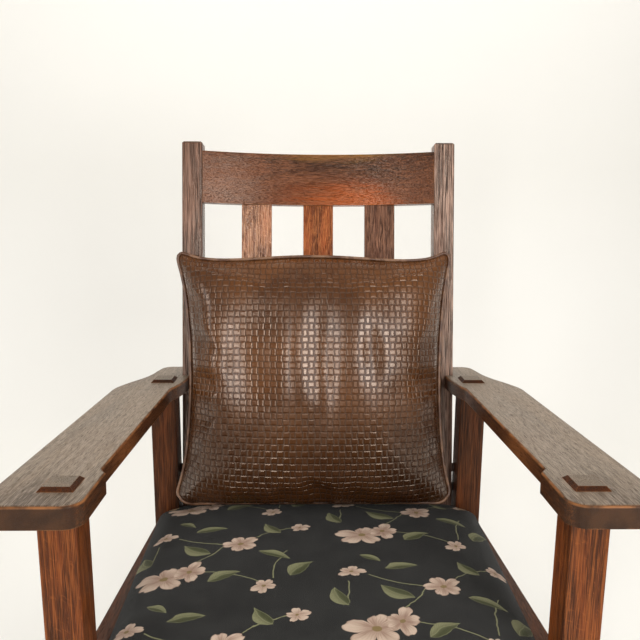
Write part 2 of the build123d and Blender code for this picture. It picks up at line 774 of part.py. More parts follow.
# Everything by name
for name, leg in legs_right.items():
    for side, piece in both(leg).items():
        pieces[f"{name}_{side}"] = piece
for name, piece in (("arm", arm), ("runner", runner), ("seat_rail", rail_side), ("back_post", post)):
    for side, copy in both(piece).items():
        pieces[f"{name}_{side}"] = copy
pieces["seat_rail_front"] = front_rail
pieces["seat_rail_rear"] = rear_rail
for name, (piece, _) in stretchers.items():
    pieces[name] = piece
pieces["crest_rail"] = back_plane * crest
pieces["back_lower_rail"] = back_plane * low_rail
for name, piece in slats.items():
    pieces[f"back_slat_{name}"] = piece
seat_pieces = {
    "seat_cover": seat_cover,
    "seat_dust_cloth": dust_cloth,
    "seat_hessian": hessian,
    "seat_padding": padding,
}
for name, board in boards.items():
    seat_pieces[f"seat_board_{name}"] = board
for name, piece in seat_pieces.items():
    placed = seat_plane * piece
    if name == "seat_dust_cloth" or name.startswith("seat_board"):
        for hole in seat_screw_holes:
            placed = placed - hole
    pieces[name] = placed
pieces["seat_webbing"] = Compound([seat_plane * web for web in long_webs + cross_webs])
groups = {
    "corner_blocks": corner_blocks,
    "corner_block_screws": block_screws,
    "seat_screws": seat_screws,
    "back_screws": back_screws,
    "back_screw_plugs": plugs,
    "back_spacers": spacers,
    "runner_screws": runner_screws,
}
for name, solids in groups.items():
    group = []
    for solid in solids:
        group += [solid, flip(solid)]
    pieces[name] = Compound(group)

# Lean the chair back to its resting tilt and set it on the floor, centred on its box
leaned = {name: Rot(X=-rest_tilt) * piece for name, piece in pieces.items()}
boxes = [piece.bounding_box() for piece in leaned.values()]
front_most = min(box.min.Y for box in boxes)
rear_most = max(box.max.Y for box in boxes)
lowest_z = min(box.min.Z for box in boxes)
to_floor = Pos(0, -(front_most + rear_most) / 2, -lowest_z)
for name, piece in leaned.items():
    export_step(to_floor * piece, f"parts/{name}.step")
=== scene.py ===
"""A rocking chair in dark oak, with a flowered seat and a loose pillow of pressed leather.

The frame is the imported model. Its wooden pieces stay and get their finishes here. The pillow and
the seat are sewn, filled and dressed here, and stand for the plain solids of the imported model.
"""
from __future__ import annotations

import logging
import math
from dataclasses import dataclass, field
from enum import Enum

import bmesh
import bpy
from mathutils import noise, Matrix, Vector


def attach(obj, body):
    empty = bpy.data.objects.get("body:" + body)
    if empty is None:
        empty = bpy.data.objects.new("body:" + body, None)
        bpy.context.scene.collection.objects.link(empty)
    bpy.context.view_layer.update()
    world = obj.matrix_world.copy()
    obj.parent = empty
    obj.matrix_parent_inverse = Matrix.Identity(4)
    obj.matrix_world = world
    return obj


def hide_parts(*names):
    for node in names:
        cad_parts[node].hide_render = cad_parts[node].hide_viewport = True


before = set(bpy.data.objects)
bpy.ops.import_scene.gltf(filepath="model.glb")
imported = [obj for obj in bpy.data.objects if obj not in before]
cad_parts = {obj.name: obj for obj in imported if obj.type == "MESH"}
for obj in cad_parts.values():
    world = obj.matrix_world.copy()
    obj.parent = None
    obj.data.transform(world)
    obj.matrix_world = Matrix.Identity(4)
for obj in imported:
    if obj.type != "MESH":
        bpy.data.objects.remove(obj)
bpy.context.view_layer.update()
LOG = logging.getLogger("rocking_chair")

Colour = tuple[float, float, float]


@dataclass(frozen=True)
class Attitude:
    """How the chair rests: the frames of its legs, arms, seat and back, in metres."""

    tilt: float = math.radians(7.0)
    arm_fall: float = math.radians(3.3)
    recline: float = math.radians(10.1)
    shift: Vector = Vector((0.0, 0.19173, 0.52187))
    seat_drop: float = 0.238
    back_face: float = 0.0615

    def upright(self) -> Matrix:
        """The frame in which the legs stand upright."""
        return Matrix.Translation(self.shift) @ Matrix.Rotation(-self.tilt, 4, "X")

    def seat(self) -> Matrix:
        """The frame of the plane on top of the seat's rails."""
        drop = Matrix.Translation((0.0, 0.0, -self.seat_drop))
        return self.upright() @ drop @ Matrix.Rotation(-self.arm_fall, 4, "X")

    def back(self) -> Matrix:
        """The frame of the plane of the back's front faces."""
        step = Matrix.Translation((0.0, self.back_face, 0.0))
        return self.upright() @ step @ Matrix.Rotation(-self.recline, 4, "X")

    def slope(self) -> Matrix:
        """The frame of the arms' top faces."""
        return self.upright() @ Matrix.Rotation(-self.arm_fall, 4, "X")


POSTURE = Attitude()


class Field:
    """A number, direction or colour that varies over a piece. Arithmetic on it adds nodes."""

    def __init__(self, mix: Recipe, socket: bpy.types.NodeSocket) -> None:
        """Keep an output of a node, and the material that it belongs to."""
        self.mix = mix
        self.socket = socket

    def __add__(self, other: object) -> Field:
        """The sum of both."""
        return self.mix.sum("ADD", self, other)

    def __sub__(self, other: object) -> Field:
        """What is left of the field without the other."""
        return self.mix.sum("SUBTRACT", self, other)

    def __rsub__(self, other: object) -> Field:
        """What is left of the other without the field."""
        return self.mix.sum("SUBTRACT", other, self)

    def __mul__(self, other: object) -> Field:
        """The product of both."""
        return self.mix.sum("MULTIPLY", self, other)

    def __truediv__(self, other: object) -> Field:
        """The field divided by the other."""
        return self.mix.sum("DIVIDE", self, other)

    def __mod__(self, other: object) -> Field:
        """Where the field is within a repeat of the other's length."""
        return self.mix.sum("FLOORED_MODULO", self, other)

    def __pow__(self, other: object) -> Field:
        """The field to a power."""
        return self.mix.sum("POWER", self, other)

    def __abs__(self) -> Field:
        """The field without its sign."""
        return self.mix.sum("ABSOLUTE", self)


class Recipe:
    """A material's node tree, with short calls for the nodes that the finishes share."""

    def __init__(self, name: str) -> None:
        """Start a material with one principled surface.

        Args:
            name: The material's name.
        """
        self.material = bpy.data.materials.new(name)
        self.material.use_nodes = True
        self.tree = self.material.node_tree
        self.tree.nodes.clear()
        self.output = self.tree.nodes.new("ShaderNodeOutputMaterial")
        self.surface = self.tree.nodes.new("ShaderNodeBsdfPrincipled")
        self.tree.links.new(self.surface.outputs[0], self.output.inputs[0])

    def feed(self, socket: bpy.types.NodeSocket, value: object) -> None:
        """Link a socket, or set its number, vector or colour.

        Args:
            socket: The input to fill.
            value: A field, or a plain value.
        """
        if isinstance(value, Field):
            self.tree.links.new(value.socket, socket)
        elif isinstance(value, tuple) and socket.type == "RGBA" and len(value) == 3:
            socket.default_value = (*value, 1.0)
        else:
            socket.default_value = value

    def set(self, **inputs: object) -> None:
        """Fill inputs of the surface; an underscore in a name stands for a space."""
        for name, value in inputs.items():
            self.feed(self.surface.inputs[name.replace("_", " ")], value)

    def node(self, kind: str, inputs: dict[int | str, object], out: int | str = 0, **settings: object) -> Field:
        """Add one node.

        Args:
            kind: Blender's name of the node, after "ShaderNode".
            inputs: What goes into each input.
            out: Which output is used.
            settings: The node's own settings.

        Returns:
            The output.
        """
        node = self.tree.nodes.new("ShaderNode" + kind)
        for name, value in settings.items():
            setattr(node, name, value)
        for key, value in inputs.items():
            self.feed(node.inputs[key], value)
        return Field(self, node.outputs[out])

    def sum(self, kind: str, a: object, b: object = 0.0, clamp: bool = False) -> Field:
        """One step of arithmetic, by Blender's name of it; clamp keeps the result from 0 to 1."""
        return self.node("Math", {0: a, 1: b}, operation=kind, use_clamp=clamp)

    def dot(self, a: object, b: object) -> Field:
        """The dot product of two vectors."""
        return self.node("VectorMath", {0: a, 1: b}, "Value", operation="DOT_PRODUCT")

    def join(self, x: object, y: object, z: object = 0.0) -> Field:
        """A vector of three numbers."""
        return self.node("CombineXYZ", {0: x, 1: y, 2: z})

    def split(self, vector: Field) -> tuple[Field, Field, Field]:
        """The three numbers of a vector."""
        node = self.node("SeparateXYZ", {0: vector}).socket.node
        return tuple(Field(self, output) for output in node.outputs)

    def scaled(self, vector: Field, by: tuple[float, float, float]) -> Field:
        """A vector with each of its numbers multiplied."""
        return self.node("VectorMath", {0: vector, 1: by}, operation="MULTIPLY")

    def noise(self, vector: Field, scale: float, detail: float = 2.0, warp: float = 0.0) -> Field:
        """Cloudy noise from 0 to 1: its scale per metre, its finer layers and its distortion."""
        return self.node("TexNoise", {"Vector": vector, "Scale": scale, "Detail": detail, "Distortion": warp})

    def chance(self, vector: Field, size: str) -> Field:
        """A number from 0 to 1 that each cell has for itself."""
        return self.node("TexWhiteNoise", {"Vector": vector}, "Value", noise_dimensions=size)

    def band(self, value: object, low: float, high: float) -> Field:
        """A smooth step from 0 at low to 1 at high, or back where high is the smaller.

        Args:
            value: What is looked at.
            low: Where the result is 0.
            high: Where the result is 1.

        Returns:
            The step.
        """
        turned = high < low
        ends = {"Value": value, "From Min": min(low, high), "From Max": max(low, high),
                "To Min": float(turned), "To Max": float(not turned)}
        return self.node("MapRange", ends, interpolation_type="SMOOTHSTEP")

    def blend(self, share: object, a: object, b: object) -> Field:
        """Two colours mixed, with share as how much of the second."""
        return self.node("Mix", {"Factor": share, 6: a, 7: b}, 2, data_type="RGBA", blend_type="MIX")

    def bump(self, height: Field, depth: float, under: Field | None = None) -> Field:
        """A normal bumped by a relief from 0 to 1 of a depth in metres, over a coarser bump.

        Args:
            height: The relief.
            depth: Its depth in metres.
            under: The coarser bump that it lies on.

        Returns:
            The bumped normal.
        """
        inputs = {"Distance": depth, "Height": height}
        if under is not None:
            inputs["Normal"] = under
        return self.node("Bump", inputs)

    def place(self) -> Field:
        """Where a point is on the piece, in metres, in the chair's frame at rest."""
        return self.node("TexCoord", {}, "Object")

    def sewn_place(self) -> Field:
        """Where a point is on the cut cloth or hide, in metres."""
        return self.node("UVMap", {}, uv_map="cut")

    def facing(self) -> Field:
        """Which way a face looks."""
        return self.node("NewGeometry", {}, "Normal")

    def arris(self, radius: float) -> Field:
        """How near a point is to a sharp edge, from 0 to 1."""
        rounded = self.node("Bevel", {"Radius": radius}, samples=4)
        return self.band(self.dot(rounded, self.facing()), 0.985, 0.86)


@dataclass(frozen=True)
class Finish:
    """A finish: its name, and how its surface is laid."""

    name: str

    def lay(self, mix: Recipe) -> None:
        """Lay the surface.

        Args:
            mix: The material, with a bare surface.
        """
        raise NotImplementedError

    def build(self) -> bpy.types.Material:
        """Make the material.

        Returns:
            The finished material.
        """
        mix = Recipe(self.name)
        self.lay(mix)
        return mix.material


class Grain(Enum):
    """Which way the wood of a piece runs."""

    ACROSS = "across"
    LEG = "leg"
    BACK = "back"
    ARM_LEFT = "arm_left"
    ARM_RIGHT = "arm_right"
    DEEP = "deep"
    RUNNER = "runner"


@dataclass(frozen=True)
class StainAndLightPatch:
    """A cloudy patch of another tone on a piece of wood: mostly stained wood; the crest's pale left end is a
    painted reflection and the arms' dark front ends are painted shade.
    """

    tone: Colour
    at: tuple[float, float, float]
    reach: float
    share: float = 0.85
    squash: tuple[float, float, float] = (1.0, 1.0, 1.0)
    over: bool = False


@dataclass(frozen=True)
class OakFinish(Finish):
    """Fumed quarter-sawn oak: straight pores, slanting flecks, wax, rubbed arrises with a painted highlight,
    and grey tops with painted sheen.
    """

    grain: Grain
    dark: Colour = (0.055, 0.021, 0.012)
    middle: Colour = (0.150, 0.062, 0.034)
    pale: Colour = (0.330, 0.165, 0.098)
    # Colour of rubbed arrises: partly the finish rubbed through, partly a painted highlight
    worn_and_highlight: Colour = (0.27, 0.105, 0.034)
    seed: float = 0.0
    flecks: float = 0.5
    # How much the arrises are rubbed through and painted with highlight
    wear_and_highlight: float = 0.5
    rough: float = 0.36
    pore: float = 0.7
    streaks: float = 1.0
    shine: float = 0.30
    # Grey of the up-facing tops and of their flecks: partly fading of the finish, partly painted sheen of the
    # bright room
    faded_and_sheen: Colour | None = None
    fleck: Colour = (0.330, 0.255, 0.190)
    stains_and_light_patches: tuple[StainAndLightPatch, ...] = ()

    def axes(self) -> tuple[Vector, Vector, Vector]:
        """The directions along the grain, across the face, and into the wood.

        Returns:
            Three directions in the chair's frame at rest.
        """
        side = Vector((1.0, 0.0, 0.0))
        if self.grain is Grain.ACROSS:
            return side, Vector((0.0, 0.25, 0.97)), Vector((0.0, 0.97, -0.25))
        if self.grain is Grain.LEG:
            along = POSTURE.upright().to_3x3() @ Vector((0.0, 0.0, 1.0))
        elif self.grain is Grain.BACK:
            along = POSTURE.back().to_3x3() @ Vector((0.0, 0.0, 1.0))
        elif self.grain is Grain.DEEP:
            along = POSTURE.seat().to_3x3() @ Vector((0.0, 1.0, 0.0))
        else:
            lean = -0.033 if self.grain is Grain.ARM_RIGHT else 0.033
            along = POSTURE.slope().to_3x3() @ Vector((lean, 1.0, 0.0)).normalized()
        across = (side - along * side.dot(along)).normalized()
        return along, across, along.cross(across)

    def lengths(self, mix: Recipe) -> Field:
        """Where a point is in the wood: along, across and into the grain, in metres.

        Args:
            mix: The material.

        Returns:
            The point in the wood.
        """
        place = mix.place()
        if self.grain is Grain.RUNNER:
            x, y, z = mix.split(place)
            back = y - RunnerCurve.hub_y
            down = RunnerCurve.hub_z - z
            turn = mix.sum("ARCTAN2", back, down)
            along = turn * RunnerCurve.radius
            reach = mix.sum("SQRT", back * back + down * down)
            return mix.join(along + self.seed, x, reach)
        along, across, deep = (mix.dot(place, tuple(axis)) for axis in self.axes())
        return mix.join(along + self.seed, across, deep)

    def lay_stains_and_light(self, mix: Recipe, base: Field, clouds: Field, ragged: Field, over: bool) -> Field:
        """Lay the patches on the wood: mostly stained wood, with a painted reflection on the crest and painted
        shade on the arms.

        Args:
            mix: The material.
            base: The wood's colour.
            clouds: The noise that shapes the edge of each stain.
            ragged: The noise that frays the edge along the grain.
            over: Whether it is the turn of the patches that lie over the grey top, partly fading and partly
                painted sheen.

        Returns:
            The stained colour.
        """
        for patch in self.stains_and_light_patches:
            if patch.over is not over:
                continue
            offset = mix.node("VectorMath", {0: mix.place(), 1: patch.at}, operation="SUBTRACT")
            length = mix.node("VectorMath", {0: mix.scaled(offset, patch.squash)}, "Value", operation="LENGTH")
            far = ragged * (patch.reach * 0.7) + (clouds * (patch.reach * 0.9) + length)
            near = mix.band(far, patch.reach * 1.60, patch.reach * 0.90)
            # The colour with its patches laid.
            base = mix.blend(near * patch.share, base, patch.tone)
        return base

    def lay(self, mix: Recipe) -> None:
        """Lay the grain, the patches, the rubbed arrises with painted highlight, and the grey tops with painted
        sheen.

        Args:
            mix: The material, with a bare surface.
        """
        wood = self.lengths(mix)
        clouds = mix.noise(mix.scaled(wood, (6.0, 24.0, 24.0)), 1.0, 4.0, 0.8)
        draw = 0.45 if self.grain in (Grain.LEG, Grain.BACK) else 1.0
        bands = mix.noise(mix.scaled(wood, (9.0 * draw, 300.0, 300.0)), 1.0, 4.0, 0.2)
        pores = mix.noise(mix.scaled(wood, (60.0 * draw, 1300.0, 1300.0)), 1.0, 2.0)
        ticks = mix.noise(mix.scaled(wood, (55.0 * draw, 1000.0, 1000.0)), 1.0, 2.0, 0.2)
        along, across, deep = mix.split(wood)
        slant = mix.join(across * 0.5 + along, across, deep)
        rays = mix.noise(mix.scaled(slant, (260.0, 120.0, 120.0)), 1.0, 2.0, 0.8)
        ray = mix.band(rays, 0.58, 0.7) * self.flecks
        facing = mix.facing()
        end = mix.band(abs(mix.dot(facing, tuple(self.axes()[0]))), 0.55, 0.85)
        side_face = 1.0 - end
        base = mix.blend(mix.band(clouds, 0.34, 0.68), self.dark, self.middle)
        base = self.lay_stains_and_light(mix, base, clouds, bands, False)
        fleck = self.pale
        if self.faded_and_sheen is not None:
            # Faces that look up turn grey: partly fading of the finish, partly painted sheen
            _, _, up = mix.split(facing)
            top = mix.band(up, 0.80, 0.96)
            cloudy = mix.blend(mix.band(clouds, 0.30, 0.70), tuple(c * 0.74 for c in self.faded_and_sheen), self.faded_and_sheen)
            base = mix.blend(top * 0.92, base, cloudy)
            fleck = mix.blend(top, self.pale, self.fleck)
            # On the rounded shoulders between top and sides: rubbing and a painted highlight
            shoulder_rub_and_highlight = mix.band(up, 0.12, 0.42) * mix.band(up, 0.93, 0.74)
        base = self.lay_stains_and_light(mix, base, clouds, bands, True)
        patterns = ((bands, 0.44, 0.66, 0.34), (ticks, 0.50, 0.64, 0.50), (ray, 0.0, 1.0, 0.45))
        for pattern, low, high, share in patterns:
            shown = mix.band(pattern, low, high) * side_face * (share * self.streaks)
            base = mix.blend(shown, base, fleck)
        if self.faded_and_sheen is not None:
            end = end * (1.0 - top)
        base = mix.blend(end * 0.6, base, self.dark)
        streak = mix.band(pores, 0.47, 0.34) * self.pore
        base = mix.blend(streak, base, tuple(c * 0.35 for c in self.dark))
        # Arrises, and the arms' shoulders, take the rubbed colour: partly rubbed-through finish, partly painted
        # highlight
        edge = mix.arris(0.0018)
        if self.grain in (Grain.ARM_LEFT, Grain.ARM_RIGHT):
            edge = mix.sum("MAXIMUM", edge, shoulder_rub_and_highlight)
        rub_and_highlight = mix.noise(mix.scaled(wood, (40.0, 40.0, 40.0)), 1.0, 3.0)
        rub_and_highlight = edge * mix.band(rub_and_highlight, 0.32, 0.6) * self.wear_and_highlight
        base = mix.blend(rub_and_highlight, base, self.worn_and_highlight)
        gloss = clouds * 0.22 + (self.rough - 0.11) + streak * 0.3
        relief = bands * 0.6 - streak
        mix.set(Base_Color=base, Roughness=gloss, Normal=mix.bump(relief, 0.0005))
        mix.set(Specular_IOR_Level=self.shine, Specular_Tint=(1.0, 0.84, 0.70))


@dataclass(frozen=True)
class RunnerCurve:
    """The circle that the runners roll on, in metres, in the chair's frame at rest."""

    radius: float = 1.080
    hub_y: float = 0.0682
    hub_z: float = 1.080


@dataclass(frozen=True)
class PlainFinish(Finish):
    """A plain stuff with a little cloud, speckle and tooth: jute, cotton, steel, bare wood."""

    tone: Colour
    second: Colour
    scale: float = 60.0
    rough: float = 0.8
    metal: float = 0.0
    thread: float = 0.0

    def lay(self, mix: Recipe) -> None:
        """Lay the stuff's clouds and its threads.

        Args:
            mix: The material, with a bare surface.
        """
        place = mix.place()
        cloud = mix.noise(place, self.scale, 4.0)
        tone = mix.blend(mix.band(cloud, 0.35, 0.65), self.tone, self.second)
        relief = mix.noise(place, self.scale * 8.0, 3.0)
        if self.thread:
            x, y, z = mix.split(place)
            turn = 2.0 * math.pi / self.thread
            warp = mix.sum("SINE", x * turn)
            weft = mix.sum("SINE", (y + z) * turn)
            relief = warp * weft * 0.5 + 0.5
            tone = mix.blend(relief * 0.35, tone, tuple((c * 0.4 for c in self.tone)))
        mix.set(Base_Color=tone, Roughness=self.rough, Metallic=self.metal, Normal=mix.bump(relief, 0.0004))


FILLING = PlainFinish("padding", (0.75, 0.72, 0.64), (0.60, 0.56, 0.48), 70.0, 0.95)


@dataclass(frozen=True)
class WovenLeather(Finish):
    """Brown hide pressed with a basket weave: wide floats in staggered rows, waxed and glossy."""

    name: str = "pressed leather"
    row: float = 0.0094
    period: float = 0.0188
    float_share: float = 0.60
    groove: float = 0.0009
    deep: Colour = (0.016, 0.005, 0.002)
    tone: Colour = (0.060, 0.0180, 0.0035)
    second: Colour = (0.118, 0.040, 0.0095)
    rough: float = 0.17

    def weave(self, mix: Recipe) -> tuple[Field, Field, Field]:
        """The relief of the weave.

        Args:
            mix: The material.

        Returns:
            The relief's height from 0 to 1, the share of groove, and a number of each float's own.
        """
        u, v, _ = mix.split(mix.sewn_place())
        wave = mix.noise(mix.sewn_place(), 14.0, 1.0)
        u = wave * 0.0016 + u
        rows = v / self.row
        index = mix.sum("FLOOR", rows)
        within = mix.sum("FRACT", rows)
        stagger = index % 2.0 * 0.5
        columns = u / self.period + stagger
        column = mix.sum("FLOOR", columns)
        across = mix.sum("FRACT", columns)
        lying = mix.sum("LESS_THAN", across, self.float_share)
        # How far a point is from the nearest edge of the float that it is on, in metres
        lying_side = mix.sum("MINIMUM", across * self.period, (self.float_share - across) * self.period)
        standing_side = mix.sum("MINIMUM", (across - self.float_share) * self.period,
                                (1.0 - across) * self.period)
        ends = mix.sum("MINIMUM", within * self.row, (1.0 - within) * self.row)
        lying_edge = mix.sum("MINIMUM", ends, lying_side)
        standing_edge = mix.sum("MINIMUM", standing_side, ends * 1.6 + 0.0002)
        edge = lying * lying_edge + (1.0 - lying) * standing_edge
        height = mix.band(edge, 0.0, self.groove * 2.6)
        groove = mix.band(edge, self.groove, 0.0)
        return height, groove, mix.chance(mix.join(index, column, lying), "3D")

    def lay(self, mix: Recipe) -> None:
        """Lay the weave and the shine of the hide, with painted shade in the grooves and towards the lower
        edge.

        Args:
            mix: The material, with a bare surface.
        """
        height, groove, own = self.weave(mix)
        place = mix.place()
        cloud = mix.noise(place, 9.0, 3.0)
        hide = mix.noise(place, 900.0, 3.0)
        tone = mix.blend(mix.band(cloud, 0.35, 0.65), self.tone, self.second)
        tone = mix.blend(own * 0.35, tone, self.second)
        tone = mix.blend(mix.band(hide, 0.5, 0.68) * 0.3, tone, self.deep)
        _, v, _ = mix.split(mix.sewn_place())
        # Painted shade: the hide darkens towards the lower edge, where the pillow's belly faces down
        tone = mix.blend(mix.band(v, 0.0, -0.17) * 0.62, tone, self.deep)
        # Painted shade in the grooves of the weave
        tone = mix.blend(groove * 0.85, tone, self.deep)
        pressed = mix.bump(height, 0.0009)
        relief = hide * 0.6 + own * 0.5
        normal = mix.bump(relief, 0.00022, pressed)
        gloss = groove * 0.55 + (own * 0.12 + self.rough)
        mix.set(Base_Color=tone, Roughness=gloss, Normal=normal)
        mix.set(Specular_IOR_Level=0.80, Specular_Tint=(1.0, 0.80, 0.64), Coat_Weight=0.20, Coat_Roughness=0.19)


@dataclass(frozen=True)
class PlainLeather(Finish):
    """The smooth hide of the piping, clouded dark and pale."""

    name: str = "piping leather"
    tone: Colour = (0.085, 0.034, 0.015)
    second: Colour = (0.220, 0.110, 0.055)

    def lay(self, mix: Recipe) -> None:
        """Lay the cloudy hide, dark and pale.

        Args:
            mix: The material, with a bare surface.
        """
        place = mix.place()
        cloud = mix.noise(place, 45.0, 4.0)
        hide = mix.noise(place, 1100.0, 3.0)
        tone = mix.blend(mix.band(cloud, 0.42, 0.64), self.tone, self.second)
        tone = mix.blend(mix.band(hide, 0.5, 0.7) * 0.4, tone, self.tone)
        mix.set(Base_Color=tone, Roughness=0.38, Normal=mix.bump(hide, 0.00025))
        mix.set(Coat_Weight=0.15, Coat_Roughness=0.35)


@dataclass(frozen=True)
class Blossom:
    """One five-petalled flower of the print: its middle, reach and turn."""

    at: tuple[float, float]
    reach: float
    turn: float
    blush: float


@dataclass(frozen=True)
class Leaf:
    """One pointed leaf of the print: its middle, half length, half width and turn."""

    at: tuple[float, float]
    half: float
    wide: float
    turn: float


@dataclass(frozen=True)
class Stem:
    """One thin stem of the print: where it starts, its length, turn and bow."""

    at: tuple[float, float]
    length: float
    turn: float
    bow: float


@dataclass(frozen=True)
class Spot:
    """A point of the cloth as the print sees it: its two lengths within the repeat."""

    mix: Recipe
    u: Field
    v: Field

    def seen_from(self, motif: Blossom | Leaf | Stem) -> tuple[Field, Field]:
        """Where the point is as seen from a motif.

        Args:
            motif: The flower, leaf or stem.

        Returns:
            The point's lengths along and across the motif.
        """
        du, dv = self.u - motif.at[0], self.v - motif.at[1]
        cos, sin = math.cos(motif.turn), math.sin(motif.turn)
        return du * cos + dv * sin, dv * cos - du * sin


@dataclass(frozen=True)
class FloweredCotton(Finish):
    """Charcoal cotton printed with scattered cream flowers, olive leaves and thin stems."""

    name: str = "flowered cotton"
    ground: Colour = (0.0155, 0.0150, 0.0135)
    cream: Colour = (0.660, 0.500, 0.380)
    blush: Colour = (0.360, 0.225, 0.160)
    heart: Colour = (0.250, 0.170, 0.065)
    olive: Colour = (0.062, 0.066, 0.024)
    sage: Colour = (0.250, 0.245, 0.125)
    repeat: tuple[float, float] = (0.270, 0.240)
    thread: float = 0.0011
    blossoms: tuple[Blossom, ...] = (
        Blossom((0.062, 0.058), 0.042, 0.3, 0.6),
        Blossom((0.094, 0.072), 0.030, 1.3, 0.9),
        Blossom((0.196, 0.030), 0.021, 1.0, 0.3),
        Blossom((0.156, 0.150), 0.033, 0.7, 0.7),
        Blossom((0.040, 0.186), 0.021, 0.1, 0.4),
        Blossom((0.240, 0.204), 0.018, 0.5, 0.5),
    )
    leaves: tuple[Leaf, ...] = (
        Leaf((0.140, 0.060), 0.024, 0.0110, 0.55),
        Leaf((0.020, 0.122), 0.023, 0.0105, 1.95),
        Leaf((0.240, 0.078), 0.025, 0.0115, 0.9),
        Leaf((0.208, 0.118), 0.026, 0.0085, -0.5),
        Leaf((0.092, 0.132), 0.026, 0.0120, 2.5),
        Leaf((0.108, 0.204), 0.024, 0.0090, 0.2),
        Leaf((0.196, 0.200), 0.021, 0.0100, 2.2),
        Leaf((0.070, 0.226), 0.017, 0.0065, -0.6),
    )
    stems: tuple[Stem, ...] = (
        Stem((0.108, 0.070), 0.098, -0.38, 3.4),
        Stem((0.092, 0.092), 0.074, 0.95, -4.2),
        Stem((0.062, 0.178), 0.086, -0.34, -3.6),
        Stem((0.176, 0.172), 0.062, 0.52, 4.6),
        Stem((0.206, 0.050), 0.080, 1.35, 3.4),
        Stem((0.034, 0.162), 0.060, -1.70, 4.4),
    )

    def print_blossom(self, spot: Spot, cloth: Field, motif: Blossom) -> Field:
        """Print one flower over the cloth's colour.

        Args:
            spot: The point of the cloth.
            cloth: The colour so far.
            motif: The flower.

        Returns:
            The colour with the flower on it.
        """
        mix = spot.mix
        along, across = spot.seen_from(motif)
        along, across = along / motif.reach, across * 1.22 / motif.reach
        out = mix.sum("SQRT", along * along + across * across)
        turn = mix.sum("ARCTAN2", across, along)
        ripple = mix.sum("SINE", turn * 3.0 + motif.at[0] * 90.0)
        lobe = abs(mix.sum("COSINE", turn * 2.5)) ** 0.5
        index = mix.sum("FLOOR", turn * (2.5 / math.pi) + 0.5) % 5.0
        own = mix.chance(mix.join(index, motif.at[0] * 100.0), "2D")
        reach = own * 0.3 + 0.34
        notch = mix.band(lobe, 0.975, 1.0) * 0.07
        rim = lobe * reach + (ripple * 0.08 + 0.42) - notch
        petal = mix.band(rim - out, 0.0, 0.05)
        line = mix.band((1.0 - lobe) * out, 0.3, 0.42)
        veins = mix.sum("SINE", turn * 31.0)
        shade = mix.band(out, 0.75, 0.18) * 0.55 + line * 0.5
        shade = mix.band(veins, 0.2, 1.0) * mix.band(out, 0.9, 0.3) * 0.35 + shade
        fold = mix.sum("SINE", turn * 5.0 + own * 4.0)
        shade = mix.band(fold, 0.2, 0.9) * 0.3 + shade
        shade = mix.band(rim - out, 0.1, 0.03) * 0.35 + shade
        shade = mix.sum("MULTIPLY", shade, 0.5 + motif.blush, clamp=True)
        tone = mix.blend(shade, self.cream, self.blush)
        tone = mix.blend(mix.band(out, 0.17, 0.11), tone, self.heart)
        return mix.blend(petal, cloth, tone)

    def print_leaf(self, spot: Spot, cloth: Field, motif: Leaf) -> Field:
        """Print one leaf over the cloth's colour.

        Args:
            spot: The point of the cloth.
            cloth: The colour so far.
            motif: The leaf.

        Returns:
            The colour with the leaf on it.
        """
        mix = spot.mix
        along, across = spot.seen_from(motif)
        share = along / motif.half
        square = share * share
        belly = (1.0 - square) * (share * -0.35 + 1.0)
        bent = square * (motif.wide * 0.5) + across
        near = belly * motif.wide - abs(bent)
        blade = mix.band(near, 0.0, 0.0007) * mix.band(square, 1.0, 0.94)
        rib = mix.band(abs(bent), 0.0009, 0.0003)
        chevron = abs(bent) * 1.2 - along
        side = mix.band(mix.sum("SINE", chevron * 1500.0), 0.6, 1.0)
        tone = mix.blend(mix.band(bent / motif.wide, -0.5, 0.6), self.olive, self.sage)
        tone = mix.blend(side * 0.45, tone, self.olive)
        tone = mix.blend(rib * 0.8, tone, self.sage)
        tone = mix.blend(mix.band(near, 0.0016, 0.0007) * 0.6, tone, self.sage)
        return mix.blend(blade, cloth, tone)

    def print_stem(self, spot: Spot, cloth: Field, motif: Stem) -> Field:
        """Print one stem over the cloth's colour.

        Args:
            spot: The point of the cloth.
            cloth: The colour so far.
            motif: The stem.

        Returns:
            The colour with the stem on it.
        """
        mix = spot.mix
        along, across = spot.seen_from(motif)
        left = motif.length - along
        arc = along * left * motif.bow
        near = mix.band(abs(across - arc), 0.0011, 0.0005)
        inside = mix.band(along, 0.0, 0.001) * mix.band(left, 0.0, 0.001)
        return mix.blend(near * inside, cloth, self.sage)

    def lay(self, mix: Recipe) -> None:
        """Lay the print and the threads of the cloth.

        Args:
            mix: The material, with a bare surface.
        """
        cut = mix.sewn_place()
        wander = mix.noise(cut, 60.0, 2.0)
        u, v, _ = mix.split(cut)
        shift = wander * 0.006 - 0.003
        u, v = u + shift, v - shift
        wide, tall = self.repeat
        half = mix.sum("FLOOR", u / wide) % 2.0 * (tall * 0.5)
        spot = Spot(mix, u % wide, (v + half) % tall)
        cloth = mix.blend(mix.band(mix.noise(cut, 30.0, 3.0), 0.3, 0.7), self.ground,
                          tuple(c * 1.5 for c in self.ground))
        for stem in self.stems:
            cloth = self.print_stem(spot, cloth, stem)
        for leaf in self.leaves:
            cloth = self.print_leaf(spot, cloth, leaf)
        for blossom in self.blossoms:
            cloth = self.print_blossom(spot, cloth, blossom)
        x, y, _ = mix.split(cut)
        turn = 2.0 * math.pi / self.thread
        threads = mix.sum("SINE", x * turn) * mix.sum("SINE", y * turn)
        cloth = mix.blend(mix.band(threads, 0.1, -0.9) * 0.3, cloth, self.ground)
        mix.set(Base_Color=cloth, Roughness=0.86, Normal=mix.bump(threads, 0.00022))
        mix.set(Sheen_Weight=0.08, Sheen_Roughness=0.45, Specular_IOR_Level=0.18)


